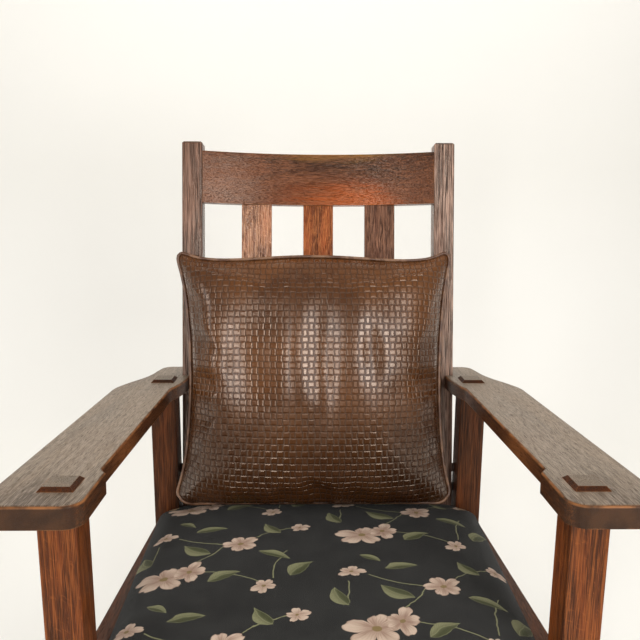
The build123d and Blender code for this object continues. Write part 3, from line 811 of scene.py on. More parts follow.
def new_piece(name: str, mesh: bpy.types.Mesh, material: bpy.types.Material) -> bpy.types.Object:
    """Put a mesh into the scene as a smooth, dressed piece.

    Args:
        name: The piece's name.
        mesh: Its mesh.
        material: Its finish.

    Returns:
        The new object.
    """
    piece = bpy.data.objects.new(name, mesh)
    bpy.context.scene.collection.objects.link(piece)
    mesh.materials.clear()
    mesh.materials.append(material)
    mesh.polygons.foreach_set("use_smooth", [True] * len(mesh.polygons))
    return piece


def panel(shape: bmesh.types.BMesh, grid: list, turned: bool = False, around: bool = False) -> list:
    """Lay a face between each four neighbours of a grid of points.

    Args:
        shape: The shape that is made.
        grid: The points, line by line.
        turned: Whether the faces look the other way.
        around: Whether each line closes on itself.

    Returns:
        The faces.
    """
    faces = []
    for low, high in zip(grid, grid[1:]):
        for i in range(len(low) if around else len(low) - 1):
            k = (i + 1) % len(low)
            corners = (low[i], low[k], high[k], high[i])
            faces.append(shape.faces.new(corners[::-1] if turned else corners))
    return faces


def rim_of(grid: list) -> list:
    """The outer points of a grid, in order round it."""
    rim = grid[0][:-1] + [line[-1] for line in grid[:-1]]
    return rim + grid[-1][:0:-1] + [line[0] for line in grid[:0:-1]]


def finished(shape: bmesh.types.BMesh, name: str) -> bpy.types.Mesh:
    """Turn a shape into a mesh of its name, and clear the shape away.

    Args:
        shape: The shape.
        name: The mesh's name.

    Returns:
        The mesh.
    """
    mesh = bpy.data.meshes.new(name)
    shape.to_mesh(mesh)
    shape.free()
    return mesh


def capped(before: Vector, after: Vector, cap: float) -> Vector:
    """Where a point comes to that may move no farther than a cap.

    Args:
        before: Where it was.
        after: Where it went.
        cap: The farthest that it may move, in metres.

    Returns:
        Where it comes to.
    """
    move = after - before
    if move.length > cap:
        move *= cap / move.length
    return before + move


def box_of(points: list[Vector]) -> tuple[Vector, Vector]:
    """The lowest and highest corner round some points."""
    return tuple(Vector([pick(p[k] for p in points) for k in range(3)]) for pick in (min, max))


def apply_modifiers(piece: bpy.types.Object) -> None:
    """Turn what a piece's modifiers show into its own mesh, and take them off.

    Args:
        piece: The piece.
    """
    graph = bpy.context.evaluated_depsgraph_get()
    graph.update()
    shown = bpy.data.meshes.new_from_object(piece.evaluated_get(graph), depsgraph=graph)
    old = piece.data
    piece.modifiers.clear()
    piece.data = shown
    bpy.data.meshes.remove(old)


def fill(piece: bpy.types.Object, pressure: float, steps: int, stiff: float, bend: float,
         pinned: list[int]) -> None:
    """Fill a sewn cover by cloth simulation, and keep the shape that it takes.

    Args:
        piece: The cover.
        pressure: How hard it is filled.
        steps: How many steps the filling takes.
        stiff: How little the stuff stretches.
        bend: How little the stuff creases.
        pinned: The vertices that stay where they are.
    """
    cloth = piece.modifiers.new("filling", "CLOTH")
    stuff = cloth.settings
    stuff.quality = 6
    stuff.mass = 0.3
    stuff.tension_stiffness = stuff.compression_stiffness = stiff
    stuff.shear_stiffness = stiff * 0.5
    stuff.bending_stiffness = bend
    stuff.tension_damping = stuff.compression_damping = stuff.shear_damping = 12.0
    stuff.air_damping = 2.0
    stuff.use_pressure = True
    stuff.uniform_pressure_force = pressure
    stuff.effector_weights.gravity = 0.0
    cloth.collision_settings.use_self_collision = False
    if pinned:
        group = piece.vertex_groups.new(name="held")
        group.add(pinned, 1.0, "REPLACE")
        stuff.vertex_group_mass = "held"
    cloth.point_cache.frame_start = 1
    cloth.point_cache.frame_end = steps
    scene = bpy.context.scene
    for step in range(1, steps + 1):
        scene.frame_set(step)
    apply_modifiers(piece)
    scene.frame_set(1)
    piece.vertex_groups.clear()


def refine(piece: bpy.types.Object) -> None:
    """Divide a piece's mesh smoothly, and keep the result.

    Args:
        piece: The piece.
    """
    rounds = piece.modifiers.new("finer", "SUBSURF")
    rounds.levels = rounds.render_levels = 1
    rounds.uv_smooth = "PRESERVE_BOUNDARIES"
    apply_modifiers(piece)
    piece.data.polygons.foreach_set("use_smooth", [True] * len(piece.data.polygons))


def stuffing(name: str, cover: bpy.types.Object, skin: float, material: bpy.types.Material) -> bpy.types.Object:
    """The filling inside a cover: the cover's own form, less its thickness.

    Args:
        name: The new piece's name.
        cover: The filled cover.
        skin: How far the filling lies inside it, in metres.
        material: The filling's finish.

    Returns:
        The filling.
    """
    mesh = cover.data.copy()
    mesh.name = name
    inward = [vert.normal.copy() for vert in mesh.vertices]
    for _ in range(6):
        total = [vector.copy() for vector in inward]
        for edge in mesh.edges:
            a, b = edge.vertices
            total[a] += inward[b]
            total[b] += inward[a]
        inward = [vector.normalized() for vector in total]
    for vert, way in zip(mesh.vertices, inward):
        vert.co = vert.co - way * skin
    return new_piece(name, mesh, material)


def cord_mesh(name: str, loop: list[Vector], radius: float, sides: int = 10) -> bpy.types.Mesh:
    """A round closed cord along a loop of points.

    Args:
        name: The mesh's name.
        loop: The points of its middle line.
        radius: Its radius in metres.
        sides: How many sides it has.

    Returns:
        The mesh.
    """
    shape = bmesh.new()
    count = len(loop)
    rings = []
    normal = Vector((0.0, 1.0, 0.0))
    for index, point in enumerate(loop):
        ahead = (loop[(index + 1) % count] - loop[index - 1]).normalized()
        side = (normal - ahead * normal.dot(ahead)).normalized()
        other = ahead.cross(side)
        ring = []
        for turn in range(sides):
            angle = 2.0 * math.pi * turn / sides
            ring.append(shape.verts.new(point + (side * math.cos(angle) + other * math.sin(angle)) * radius))
        rings.append(ring)
    panel(shape, rings + rings[:1], around=True)
    bmesh.ops.recalc_face_normals(shape, faces=shape.faces)
    return finished(shape, name)


@dataclass
class Pillow:
    """The loose pillow: two hides sewn round a piping, filled, and leaning on the slats."""

    width: float = 0.452
    height: float = 0.412
    half_thick: float = 0.0745
    middle: Vector = field(default_factory=lambda: Vector((-0.0075, -0.0575, -0.0008)))
    columns: int = 66
    rows: int = 60
    side_draw: float = 0.0155
    top_draw: float = 0.0090
    left_more: float = 0.25
    dip_out: float = 4.2
    corner_ease: float = 0.036
    corner_power: int = 26
    flat: float = 0.86
    fullness: float = 0.44
    pucker: float = 0.16
    cap: float = 0.013
    piping: float = 0.0025
    skin: float = 0.0045
    belly: float = 0.0030
    stray: float = 0.016
    uneven: float = 0.0022
    tuck: float = 0.016
    tuck_from: float = 0.35
    over_seat: float = 0.0022
    give: float = 0.012
    post_inside: float = 0.196
    post_face: float = -0.0035
    rail_top: float = -0.078
    rail_face: float = 0.0105
    slat_face: float = 0.0150
    slat_lean: float = 0.050
    sheet_gap: float = 0.7
    folds: tuple[tuple[float, float, float, float, float], ...] = (
        (-0.038, 0.010, 0.030, 0.120, 0.0055),
        (-0.105, 0.020, 0.036, 0.130, -0.0050),
        (0.014, 0.030, 0.022, 0.120, -0.0045),
        (0.085, -0.010, 0.052, 0.110, 0.0060),
        (0.088, 0.045, 0.013, 0.048, -0.0050),
        (-0.168, 0.040, 0.026, 0.100, 0.0055),
        (0.165, 0.050, 0.030, 0.090, 0.0040),
    )

    def cut_point(self, s: float, t: float, side: float) -> Vector:
        """A point of the cover before it is filled.

        Args:
            s: From -1 at the left edge to 1 at the right.
            t: From -1 at the lower edge to 1 at the upper.
            side: -1 on the front hide, 1 on the rear one.

        Returns:
            The point, in the pillow's own frame.
        """
        ease = 1.0 - self.corner_ease * abs(s * t) ** self.corner_power
        draw = self.side_draw * (1.0 - t * t) * (1.0 + self.left_more * max(0.0, -s))
        dip = self.top_draw * (1.0 - s * s) * (1.0 + self.dip_out * s * s) if t > 0.0 else 0.0
        x = s * (self.width * 0.5 * ease - draw)
        z = t * (self.height * 0.5 * ease - dip * abs(t))
        loft = self.half_thick * self.flat * ((1.0 - s * s) * (1.0 - t * t)) ** self.fullness
        pucker = math.sin(23.0 * s + 2.0 * t + side) * (1.0 - s * s) * t ** 8
        pucker += math.sin(21.0 * t + 1.3 * side) * (1.0 - t * t) * s ** 8
        return Vector((x, side * loft * (1.0 + self.pucker * pucker), z))

    def cut_hides(self) -> bpy.types.Mesh:
        """Cut and sew the two hides, nearly flat.

        Returns:
            The closed cover's mesh, with the cut lengths in its "cut" map.
        """
        shape = bmesh.new()
        cut = shape.loops.layers.uv.new("cut")
        crease = shape.edges.layers.float.new("crease_edge")
        sheets: list[list[list[bmesh.types.BMVert]]] = []
        for side in (-1.0, 1.0):
            sheet = []
            for j in range(self.rows + 1):
                line = []
                for i in range(self.columns + 1):
                    s, t = 2.0 * i / self.columns - 1.0, 2.0 * j / self.rows - 1.0
                    shared = side > 0.0 and 1.0 in (abs(s), abs(t))
                    line.append(sheets[0][j][i] if shared else shape.verts.new(self.cut_point(s, t, side)))
                sheet.append(line)
            sheets.append(sheet)
        for side, sheet in enumerate(sheets):
            for face in panel(shape, sheet, turned=side == 1):
                for loop in face.loops:
                    place = loop.vert.co
                    loop[cut].uv = (place.x + side * self.sheet_gap, place.z)
        ring = rim_of(sheets[0])
        for vert, after in zip(ring, ring[1:] + ring[:1]):
            shape.edges.get((vert, after))[crease] = 1.0
        return finished(shape, "pillow_cover")

    def back_limit(self, x: float, z: float) -> float:
        """How far back the cover may reach before the slats, the lower rail and the posts.

        Args:
            x: How far right of the back's middle.
            z: How high, in the back's frame.

        Returns:
            The farthest back, in the back's frame.
        """
        if abs(x) > self.post_inside:
            return self.post_face
        if z < self.rail_top:
            return self.rail_face
        return self.slat_face + (z - self.rail_top) * self.slat_lean

    def rest_on_seat(self, point: Vector) -> Vector:
        """Lift a point of the cover, in the back's frame, out of the seat.

        Args:
            point: The point.

        Returns:
            The point, at least a little over the seat.
        """
        there = POSTURE.seat().inverted() @ POSTURE.back()
        on_seat = there @ point
        least = Seat().surface(on_seat.x, on_seat.y) + self.over_seat
        if on_seat.z >= least:
            return point
        on_seat.z = least
        return there.inverted() @ on_seat

    def settle(self, cover: bpy.types.Object, cut: list[Vector]) -> None:
        """Bring the filled cover to its size, lay it on the back and give it its folds.

        Args:
            cover: The filled cover, in its own frame.
            cut: Where its points were before it was filled.
        """
        mesh = cover.data
        points = [capped(before, vert.co, self.cap) for vert, before in zip(mesh.vertices, cut)]
        low, high = box_of(points)
        middle = (low + high) * 0.5
        sizes = Vector((self.width, self.half_thick * 2.0, self.height))
        for vert, point in zip(mesh.vertices, points):
            p = point - middle
            p = Vector([p[k] * sizes[k] / (high[k] - low[k]) for k in range(3)])
            if p.y < 0.0:
                share = min(1.0, -p.y / self.half_thick)
                p.y -= self.belly * math.sin(math.pi * (0.5 - p.z / self.height)) * share
                stray = noise.noise_vector(Vector((p.x * 11.0, 4.2, p.z * 8.0))) * self.stray
                for x, z, wide, tall, depth in self.folds:
                    near = ((p.x + stray.x - x) / wide) ** 2 + ((p.z + 2.0 * stray.z - z) / tall) ** 2
                    p.y -= depth * math.exp(-near) * share
                p.y -= noise.noise(Vector((p.x * 16.0, 1.3, p.z * 12.0))) * self.uneven * share
            low_share = max(0.0, -2.0 * p.z / self.height - self.tuck_from) / (1.0 - self.tuck_from)
            p.z -= self.tuck * low_share * low_share * (1.0 - (2.0 * p.x / self.width) ** 4)
            p += self.middle
            p = self.rest_on_seat(p)
            limit = self.back_limit(p.x, p.z)
            if p.y > limit - self.give:
                over = p.y - (limit - self.give)
                p.y = limit - self.give * math.exp(-over / self.give)
            vert.co = p

    def seam(self, cover: bpy.types.Object) -> list[Vector]:
        """The seam's points, in order round the cover.

        Args:
            cover: The settled cover.

        Returns:
            The points.
        """
        mesh = cover.data
        marks = mesh.attributes["crease_edge"].data
        ways: dict[int, list[int]] = {}
        for edge, mark in zip(mesh.edges, marks):
            if mark.value > 0.5:
                a, b = edge.vertices
                ways.setdefault(a, []).append(b)
                ways.setdefault(b, []).append(a)
        start = next(iter(ways))
        ring, last, now = [start], start, ways[start][0]
        while now != start:
            ring.append(now)
            following = [n for n in ways[now] if n != last]
            last, now = now, following[0]
        return [mesh.vertices[index].co.copy() for index in ring]

    def build(self) -> list[bpy.types.Object]:
        """Make the pillow.

        Returns:
            Its cover, its piping and its filling.
        """
        cover = new_piece("pillow_cover", self.cut_hides(), WovenLeather().build())
        cut = [vert.co.copy() for vert in cover.data.vertices]
        fill(cover, pressure=5.0, steps=16, stiff=20.0, bend=0.8, pinned=[])
        self.settle(cover, cut)
        refine(cover)
        points = self.seam(cover)
        centre = sum(points, Vector()) / len(points)
        loop = []
        for point in points[::2]:
            away = point - centre
            away.y = 0.0
            loop.append(point + away.normalized() * self.piping * 0.9)
        cord = new_piece("pillow_cord", cord_mesh("pillow_cord", loop, self.piping), PlainLeather().build())
        filling = stuffing("pillow_stuffing", cover, self.skin, FILLING.build())
        for piece, slot in ((cover, "leather"), (cord, "leather"), (filling, "padding")):
            piece.data.transform(POSTURE.back())
            piece.data.update()
            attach(piece, "pillow")
        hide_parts("pillow_front_panel", "pillow_back_panel")
        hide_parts("pillow_piping")
        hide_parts("pillow_filling")
        return [cover, cord, filling]


@dataclass
class Seat:
    """The padded seat: flowered cotton drawn over a crown of padding and down its sides."""

    front: float = -0.4806
    rear: float = -0.0080
    front_half: float = 0.251
    rear_half: float = 0.264
    front_corner: float = 0.022
    rear_corner: float = 0.044
    crown: float = 0.048
    columns: int = 56
    rows: int = 50
    levels: tuple[tuple[float, float], ...] = (
        (0.0, 0.0200), (0.0059, 0.0298), (0.0189, 0.0365), (0.0449, 0.0418), (0.0945, 0.0461), (0.156, 0.0480))
    pillow_seam: tuple[float, float, float] = (-0.0075, 0.1342, 0.3282)
    dent_depth: float = 0.0032
    dent_width: float = 0.010
    dent_half_length: float = 0.210
    dent_fade: float = 0.020
    dent_reach: float = 0.010
    skin: float = 0.0030
    cap: float = 0.004
    hold: float = 0.0004
    turn_in: float = 0.0022
    edge_blend: float = 0.05
    drops: tuple[float, ...] = (0.06, 0.5, 1.0, 1.0)

    def half_at(self, t: float) -> float:
        """Half the seat's width, from -1 at the front to 1 at the rear."""
        return self.front_half + (self.rear_half - self.front_half) * (t + 1.0) * 0.5

    def from_edges(self, s: float, t: float) -> tuple[float, float]:
        """How far a point lies from the seat's side and from its end."""
        return self.half_at(t) * (1.0 - abs(s)), (self.rear - self.front) * 0.5 * (1.0 - abs(t))

    def eased(self, index: int, count: int) -> float:
        """A step across the cloth, from -1 to 1, with the steps closer together at the edges."""
        even = 2.0 * index / count - 1.0
        return math.sin(math.pi * 0.5 * even) * 0.35 + even * 0.65

    def rounded(self, s: float, t: float) -> Vector:
        """A point of the seat seen from above.

        Args:
            s: From -1 at the left side to 1 at the right.
            t: From -1 at the front to 1 at the rear.

        Returns:
            The point, drawn in at the rounded corners.
        """
        y = self.front + (self.rear - self.front) * (t + 1.0) * 0.5
        corner = self.front_corner if t < 0.0 else self.rear_corner
        x = s * self.half_at(t)
        edge_x, edge_y = self.from_edges(s, t)
        into_x, into_y = max(0.0, corner - edge_x), max(0.0, corner - edge_y)
        reach = math.hypot(into_x, into_y)
        if into_x > 0.0 and into_y > 0.0 and reach > 0.0:
            square = max(into_x, into_y)
            x -= math.copysign(into_x * (1.0 - square / reach), s)
            y -= math.copysign(into_y * (1.0 - square / reach), t)
        return Vector((x, y, 0.0))

    def height_at(self, inset: float) -> float:
        """The crown's height at a distance from the seat's edge.

        Args:
            inset: The distance in metres.

        Returns:
            The height over the rails.
        """
        for (near, low), (far, high) in zip(self.levels, self.levels[1:]):
            if inset <= far:
                return low + (high - low) * (inset - near) / (far - near)
        return self.crown

    def inset(self, s: float, t: float) -> float:
        """How far a point lies from the seat's edge.

        Args:
            s: From -1 at the left side to 1 at the right.
            t: From -1 at the front to 1 at the rear.

        Returns:
            The distance, eased where two edges meet.
        """
        edge_x, edge_y = self.from_edges(s, t)
        soft = self.edge_blend
        return max(0.0, -soft * math.log(math.exp(-edge_x / soft) + math.exp(-edge_y / soft)
                                         - math.exp(-(edge_x + edge_y) / soft)))

    def surface(self, x: float, y: float) -> float:
        """How high the seat stands over its rails at a place, or far below beside the seat.

        Args:
            x: How far right of the seat's middle.
            y: How far back, in the seat's frame.

        Returns:
            The height in metres.
        """
        t = 2.0 * (y - self.front) / (self.rear - self.front) - 1.0
        s = x / self.half_at(t)
        if abs(s) > 1.0 or abs(t) > 1.0:
            return -1.0
        return self.height_at(self.inset(s, t))

    def sew(self) -> tuple[bpy.types.Mesh, list[int]]:
        """Cut the cover and draw it over the padding.

        Returns:
            The cover's mesh and the vertices that are fixed underneath.
        """
        shape = bmesh.new()
        cut = {}
        grid = []
        for j in range(self.rows + 1):
            line = []
            for i in range(self.columns + 1):
                s, t = self.eased(i, self.columns), self.eased(j, self.rows)
                place = self.rounded(s, t)
                place.z = self.height_at(self.inset(s, t))
                vert = shape.verts.new(place)
                cut[vert] = (place.x, place.y)
                line.append(vert)
            grid.append(line)
        panel(shape, grid)
        ring = rim_of(grid)
        middle = Vector((0.0, (self.front + self.rear) * 0.5, 0.0))
        top = self.height_at(0.0)
        fixed = []
        before = 0.0
        last = len(self.drops)
        for level, share in enumerate(self.drops, 1):
            following = []
            for vert in ring:
                x, y = cut[vert]
                away = Vector((x, y, 0.0)) - middle
                away.x *= 0.9
                outward = away.normalized()
                place = Vector((vert.co.x, vert.co.y, top * (1.0 - share) + self.hold))
                if level == last:
                    place -= outward * self.turn_in
                under = shape.verts.new(place)
                step = (share - before) * top if level < last else self.turn_in
                cut[under] = (x + outward.x * step, y + outward.y * step)
                following.append(under)
            for corners in zip(ring, following, following[1:] + following[:1], ring[1:] + ring[:1]):
                shape.faces.new(corners)
            ring, before = following, share
            if level >= last - 1:
                fixed += ring
        layer = shape.loops.layers.uv.new("cut")
        for face in shape.faces:
            for loop in face.loops:
                loop[layer].uv = cut[loop.vert]
        bmesh.ops.recalc_face_normals(shape, faces=shape.faces)
        shape.verts.index_update()
        pinned = [vert.index for vert in fixed]
        return finished(shape, "seat_top"), pinned

    def settle(self, cover: bpy.types.Object, drawn: list[Vector]) -> None:
        """Keep the filled cover inside the seat's form, and its skirt almost where it was.

        Args:
            cover: The filled cover.
            drawn: Where its points were before it was filled.
        """
        for vert, before in zip(cover.data.vertices, drawn):
            p = capped(before, vert.co, self.cap)
            p.z = min(p.z, before.z + self.hold)
            if before.z < self.levels[0][1] + 0.001:
                p = Vector([max(min(p[k], before[k] + self.hold), before[k] - self.hold) for k in range(3)])
            vert.co = p

    def press(self, cover: bpy.types.Object) -> None:
        """Let the pillow's lower seam lie in a shallow dent of the cover.

        Args:
            cover: The settled cover, in the seat's own frame.
        """
        seam = POSTURE.seat().inverted() @ Vector(self.pillow_seam)
        for vert in cover.data.vertices:
            off = (vert.co.y - seam.y) / self.dent_width
            past = max(0.0, abs(vert.co.x - seam.x) - self.dent_half_length) / self.dent_fade
            if vert.co.z > seam.z - self.dent_reach:
                vert.co.z -= self.dent_depth * math.exp(-off * off - past * past)

    def build(self) -> list[bpy.types.Object]:
        """Make the seat's cover.

        Returns:
            The cover and its filling.
        """
        mesh, pinned = self.sew()
        cover = new_piece("seat_top", mesh, FloweredCotton().build())
        drawn = [vert.co.copy() for vert in mesh.vertices]
        fill(cover, pressure=1.5, steps=12, stiff=25.0, bend=0.8, pinned=pinned)
        self.settle(cover, drawn)
        refine(cover)
        self.press(cover)
        filling = stuffing("seat_stuffing", cover, self.skin, FILLING.build())
        for piece, slot, node in ((cover, "seat_cloth", "seat_cover"), (filling, "padding", "seat_padding")):
            piece.data.transform(POSTURE.seat())
            piece.data.update()
            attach(piece, "chair")
            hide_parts(node)
        return [cover, filling]


@dataclass
class Woodwork:
    """The oak frame and its fastenings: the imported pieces, each with its own board of wood."""

    posts: tuple[str, ...] = ("back_post_left", "back_post_right")
    cross_pieces: tuple[str, ...] = ("back_lower_rail", "front_stretcher", "rear_stretcher", "seat_rail_front",
                                     "seat_rail_rear")

    def finishes(self) -> dict[str, OakFinish]:
        """The oak of each piece.

        Returns:
            The finish of each wooden node.
        """
        oak: dict[str, OakFinish] = {}
        brown = dict(dark=(0.028, 0.010, 0.006), middle=(0.090, 0.036, 0.020), pale=(0.400, 0.205, 0.135))
        red = dict(dark=(0.026, 0.006, 0.001), middle=(0.082, 0.018, 0.003), pale=(0.170, 0.048, 0.011),
                   rough=0.42)
        orange = dict(dark=(0.040, 0.008, 0.001), middle=(0.150, 0.032, 0.005), pale=(0.320, 0.090, 0.018),
                      rough=0.42)
        edge = dict(dark=(0.018, 0.005, 0.0015), middle=(0.060, 0.017, 0.005), pale=(0.160, 0.054, 0.017),
                    pore=0.50, streaks=1.25, rough=0.40)
        # The tops' grey is partly fading of the finish and partly painted sheen
        top = dict(faded_and_sheen=(0.225, 0.165, 0.112))
        # The right post's paler tones are a painted reflection of a window
        brown_with_painted_reflection = dict(brown, middle=(0.130, 0.060, 0.038), pale=(0.560, 0.340, 0.245))
        for index, (name, tones, streaks) in enumerate(zip(self.posts, (brown, brown_with_painted_reflection), (0.95, 1.2))):
            oak[name] = OakFinish(f"oak {name}", Grain.BACK, seed=1.7 * index + 0.3, flecks=0.2,
                                  streaks=streaks, rough=0.29, shine=0.5, **tones)
        slats = {
            # The left slat's pale tones: partly its own colour, partly a painted reflection of a window
            "left": dict(dark=(0.130, 0.038, 0.015), middle=(0.430, 0.150, 0.065), pale=(0.80, 0.40, 0.21),
                         seed=4.1, flecks=0.9, rough=0.27, shine=0.6),
            "centre": dict(dark=(0.100, 0.019, 0.003), middle=(0.350, 0.072, 0.014), pale=(0.62, 0.21, 0.06),
                           seed=5.3, flecks=0.5),
            "right": dict(dark=(0.044, 0.014, 0.006), middle=(0.150, 0.050, 0.025), pale=(0.42, 0.19, 0.105),
                          seed=6.9, flecks=0.4),
        }
        for side, wood in slats.items():
            oak[f"back_slat_{side}"] = OakFinish(f"oak {side} slat", Grain.BACK, **wood)
        crest = (StainAndLightPatch((0.018, 0.007, 0.004), (0.030, 0.36, 0.885), 0.26, 0.92, (1.0, 0.5, 2.6)),
                 StainAndLightPatch((0.210, 0.042, 0.006), (0.020, 0.36, 0.790), 0.210, 0.90, (1.0, 0.4, 2.6), True),
                 StainAndLightPatch((0.360, 0.070, 0.008), (0.072, 0.36, 0.797), 0.130, 0.95, (1.0, 0.4, 2.6), True),
                 # Painted reflection of a window: the pale patch at the crest's left end
                 StainAndLightPatch((0.240, 0.125, 0.085), (-0.170, 0.36, 0.820), 0.130, 0.55, (1.0, 0.4, 1.4), True),
                 StainAndLightPatch((0.260, 0.110, 0.022), (0.015, 0.36, 0.879), 0.170, 0.95, (1.0, 0.2, 6.0), True))
        oak["crest_rail"] = OakFinish("oak crest", Grain.ACROSS, (0.028, 0.008, 0.003), (0.125, 0.036, 0.013),
                                      (0.40, 0.15, 0.060), (0.36, 0.15, 0.040), 8.2, flecks=0.4, wear_and_highlight=0.8,
                                      rough=0.28, shine=0.36, pore=0.6, streaks=0.5, stains_and_light_patches=crest)
        for index, name in enumerate(self.cross_pieces):
            oak[name] = OakFinish(f"oak {name}", Grain.ACROSS, seed=9.0 + 1.3 * index, **red)
        sides = (("left", -1.0, Grain.ARM_LEFT), ("right", 1.0, Grain.ARM_RIGHT))
        for index, (side, sign, turn) in enumerate(sides):
            # First patch: painted shade, the arm top darkening towards its front end as the painted sheen falls
            # off; second: an orange patch on the arm's inner side
            marks = (StainAndLightPatch((0.052, 0.030, 0.018), (0.300 * sign, -0.330, 0.610), 0.150, 0.75, over=True),
                     StainAndLightPatch((0.250, 0.085, 0.024), (0.232 * sign, -0.120, 0.560), 0.110, 0.75))
            oak[f"arm_{side}"] = OakFinish(f"oak arm {side}", turn, seed=17.0 + 2.1 * index, flecks=0.5,
                                           wear_and_highlight=0.95, stains_and_light_patches=marks, **edge, **top)
            tenon = (StainAndLightPatch((0.022, 0.011, 0.007), (0.275 * sign, -0.262, 0.600), 0.060, 0.97),)
            rear = (StainAndLightPatch((0.022, 0.011, 0.007), (0.260 * sign, 0.205, 0.515), 0.045, 0.97),)
            oak[f"rear_leg_{side}"] = OakFinish(f"oak rear leg {side}", Grain.LEG, seed=22.0 + index,
                                                flecks=0.2, stains_and_light_patches=rear, **red, **top)
            oak[f"front_leg_{side}"] = OakFinish(f"oak front leg {side}", Grain.LEG, seed=25.0 + index,
                                                 stains_and_light_patches=tenon, **orange, **top)
            oak[f"seat_rail_{side}"] = OakFinish(f"oak side rail {side}", Grain.DEEP, seed=28.0 + index, **red)
            oak[f"runner_{side}"] = OakFinish(f"oak runner {side}", Grain.RUNNER, seed=31.0 + index, **red)
        oak["back_screw_plugs"] = OakFinish("oak plugs", Grain.ACROSS, seed=35.0, **red)
        return oak

    def plain_finishes(self) -> dict[str, PlainFinish]:
        """The finish of each node that isn't oak.

        Returns:
            The finishes by node.
        """
        boards = PlainFinish("bare wood", (0.42, 0.28, 0.16), (0.30, 0.19, 0.10), 22.0, 0.7)
        steel = PlainFinish("screw steel", (0.42, 0.40, 0.37), (0.25, 0.23, 0.21), 300.0, 0.35, 1.0)
        jute = PlainFinish("jute", (0.45, 0.34, 0.20), (0.33, 0.24, 0.13), 90.0, 0.9, 0.0, 0.0030)
        dust = PlainFinish("dust cloth", (0.030, 0.030, 0.031), (0.045, 0.045, 0.046), 80.0, 0.9, 0.0, 0.0012)
        fibre = PlainFinish("fibre rings", (0.060, 0.030, 0.018), (0.035, 0.018, 0.010), 200.0, 0.7)
        coil = PlainFinish("zip", (0.060, 0.030, 0.016), (0.035, 0.017, 0.010), 400.0, 0.5, 0.0, 0.0016)
        finishes = {"seat_webbing": jute, "seat_hessian": jute, "seat_dust_cloth": dust,
                    "back_spacers": fibre, "pillow_zip": coil, "corner_blocks": boards}
        for name in ("corner_block_screws", "seat_screws", "back_screws", "runner_screws"):
            finishes[name] = steel
        for side in ("front", "rear", "left", "right"):
            finishes[f"seat_board_{side}"] = boards
        return finishes

    def dress(self) -> list[bpy.types.Object]:
        """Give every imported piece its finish.

        Returns:
            The dressed pieces.
        """
        dressed = []
        made: dict[str, bpy.types.Material] = {}
        for node, finish in {**self.finishes(), **self.plain_finishes()}.items():
            if finish.name not in made:
                made[finish.name] = finish.build()
            piece = bpy.data.objects[node]
            if not piece.material_slots:
                piece.data.materials.append(made[finish.name])
            for slot in piece.material_slots:
                slot.material = made[finish.name]
            dressed.append(piece)
        return dressed


@dataclass(frozen=True)
class Lamp:
    """A soft lamp: where it hangs, its width and height, its watts, and what it points at."""

    name: str
    at: tuple[float, float, float]
    size: tuple[float, float]
    watts: float
    aim: tuple[float, float, float] = (0.0, 0.1, 0.6)
    mirrored: bool = True

    def hang(self) -> None:
        """Hang the lamp."""
        lamp = bpy.data.lights.new(self.name, "AREA")
        lamp.shape = "RECTANGLE"
        lamp.size, lamp.size_y = self.size
        lamp.energy = self.watts
        holder = bpy.data.objects.new(self.name, lamp)
        holder.location = self.at
        holder.visible_glossy = self.mirrored
        holder.rotation_euler = (Vector(self.aim) - Vector(self.at)).to_track_quat("-Z", "Y").to_euler()
        bpy.context.scene.collection.objects.link(holder)


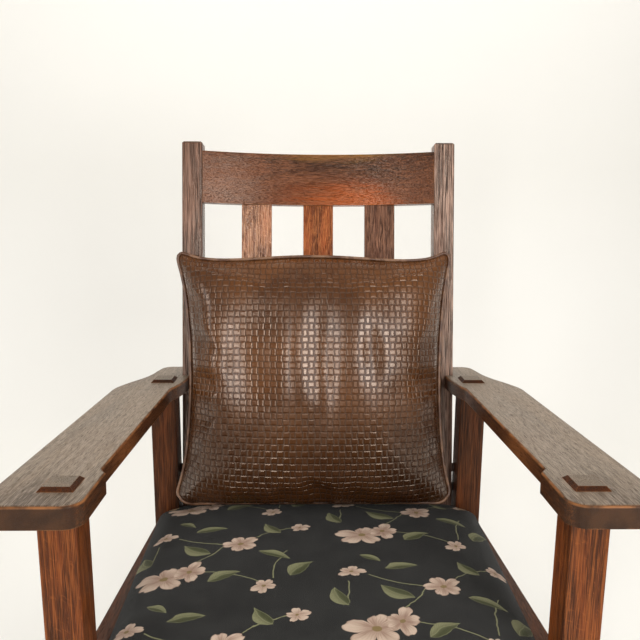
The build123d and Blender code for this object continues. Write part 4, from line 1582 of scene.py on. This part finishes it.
@dataclass
class Studio:
    """The pale floor and backdrop, the lamps and the camera."""

    camera_at: Vector = field(default_factory=lambda: Vector((-0.0199, -0.94117, 1.01617)))
    heading: float = math.radians(1.08)
    pitch: float = math.radians(18.68)
    roll: float = math.radians(0.49)
    lens: float = 41.625
    paper: Colour = (0.86, 0.84, 0.79)
    paper_half: float = 9.0
    paper_front: float = -5.0
    bend_start: float = 0.9
    bend_radius: float = 0.7
    bend_steps: int = 12
    paper_top: float = 4.5
    room_light: float = 0.26
    room_seen: float = 0.88
    room_tone: tuple[float, float, float, float] = (1.0, 0.98, 0.95, 1.0)
    lamps: tuple[Lamp, ...] = (
        Lamp("window", (-0.60, -2.3, 1.45), (0.28, 1.7), 22.0),
        Lamp("second window", (1.15, -2.1, 1.45), (0.75, 1.7), 42.0),
        Lamp("left window", (-2.3, -1.4, 1.35), (0.35, 1.5), 18.0),
        Lamp("ceiling", (0.0, 0.75, 2.5), (2.6, 1.4), 38.0, (0.0, 0.1, 0.2), False),
    )

    def lay_paper(self) -> bpy.types.Object:
        """Lay the paper that is both floor and backdrop, and clear when seen from behind.

        Returns:
            The paper.
        """
        shape = bmesh.new()
        line = [(self.paper_front, 0.0), (self.bend_start, 0.0)]
        for step in range(1, self.bend_steps + 1):
            turn = math.pi * 0.5 * step / self.bend_steps
            line.append((self.bend_start + self.bend_radius * math.sin(turn),
                         self.bend_radius - self.bend_radius * math.cos(turn)))
        line.append((self.bend_start + self.bend_radius, self.paper_top))
        sides = [[shape.verts.new((x, y, z)) for y, z in line] for x in (-self.paper_half, self.paper_half)]
        panel(shape, list(zip(*sides)))
        mix = Recipe("paper")
        tone = mix.blend(mix.noise(mix.place(), 1.5), self.paper, tuple(c * 0.97 for c in self.paper))
        mix.set(Base_Color=tone, Roughness=0.9, Specular_IOR_Level=0.1)
        behind = mix.node("NewGeometry", {}, "Backfacing")
        clear = mix.node("BsdfTransparent", {})
        shown = mix.node("MixShader", {0: behind, 1: Field(mix, mix.surface.outputs[0]), 2: clear})
        mix.feed(mix.output.inputs["Surface"], shown)
        return new_piece("paper", finished(shape, "paper"), mix.material)

    def stand_camera(self) -> None:
        """Stand the camera where the photograph was taken from."""
        data = bpy.data.cameras.new("camera")
        data.lens, data.sensor_width = self.lens, 36.0
        data.clip_start, data.clip_end = 0.02, 50.0
        camera = bpy.data.objects.new("camera", data)
        ahead = Vector((math.sin(self.heading) * math.cos(self.pitch),
                        math.cos(self.heading) * math.cos(self.pitch), -math.sin(self.pitch)))
        turn = ahead.to_track_quat("-Z", "Y").to_matrix().to_4x4() @ Matrix.Rotation(self.roll, 4, "Z")
        camera.matrix_world = Matrix.Translation(self.camera_at) @ turn
        bpy.context.scene.collection.objects.link(camera)
        bpy.context.scene.camera = camera

    def light_room(self) -> None:
        """Light the room, which looks paler than it shines."""
        world = bpy.data.worlds.new("room")
        bpy.context.scene.world = world
        world.use_nodes = True
        nodes, links = world.node_tree.nodes, world.node_tree.links
        sky = nodes["Background"]
        sky.inputs["Color"].default_value = self.room_tone
        strength = nodes.new("ShaderNodeMapRange")
        strength.inputs["To Min"].default_value = self.room_light
        strength.inputs["To Max"].default_value = self.room_seen
        links.new(nodes.new("ShaderNodeLightPath").outputs["Is Camera Ray"], strength.inputs["Value"])
        links.new(strength.outputs[0], sky.inputs["Strength"])

    def build(self) -> None:
        """Set up the whole studio."""
        self.lay_paper()
        for lamp in self.lamps:
            lamp.hang()
        self.light_room()
        bpy.context.scene.view_settings.view_transform = "Standard"
        self.stand_camera()


def main() -> None:
    """Build the pieces in order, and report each."""
    logging.basicConfig(level=logging.INFO, format="%(name)s: %(message)s")
    Studio().build()
    for part in (Woodwork().dress, Seat().build, Pillow().build):
        for piece in part():
            LOG.info("%s: %d faces", piece.name, len(piece.data.polygons))


if __name__ == "__main__":
    main()
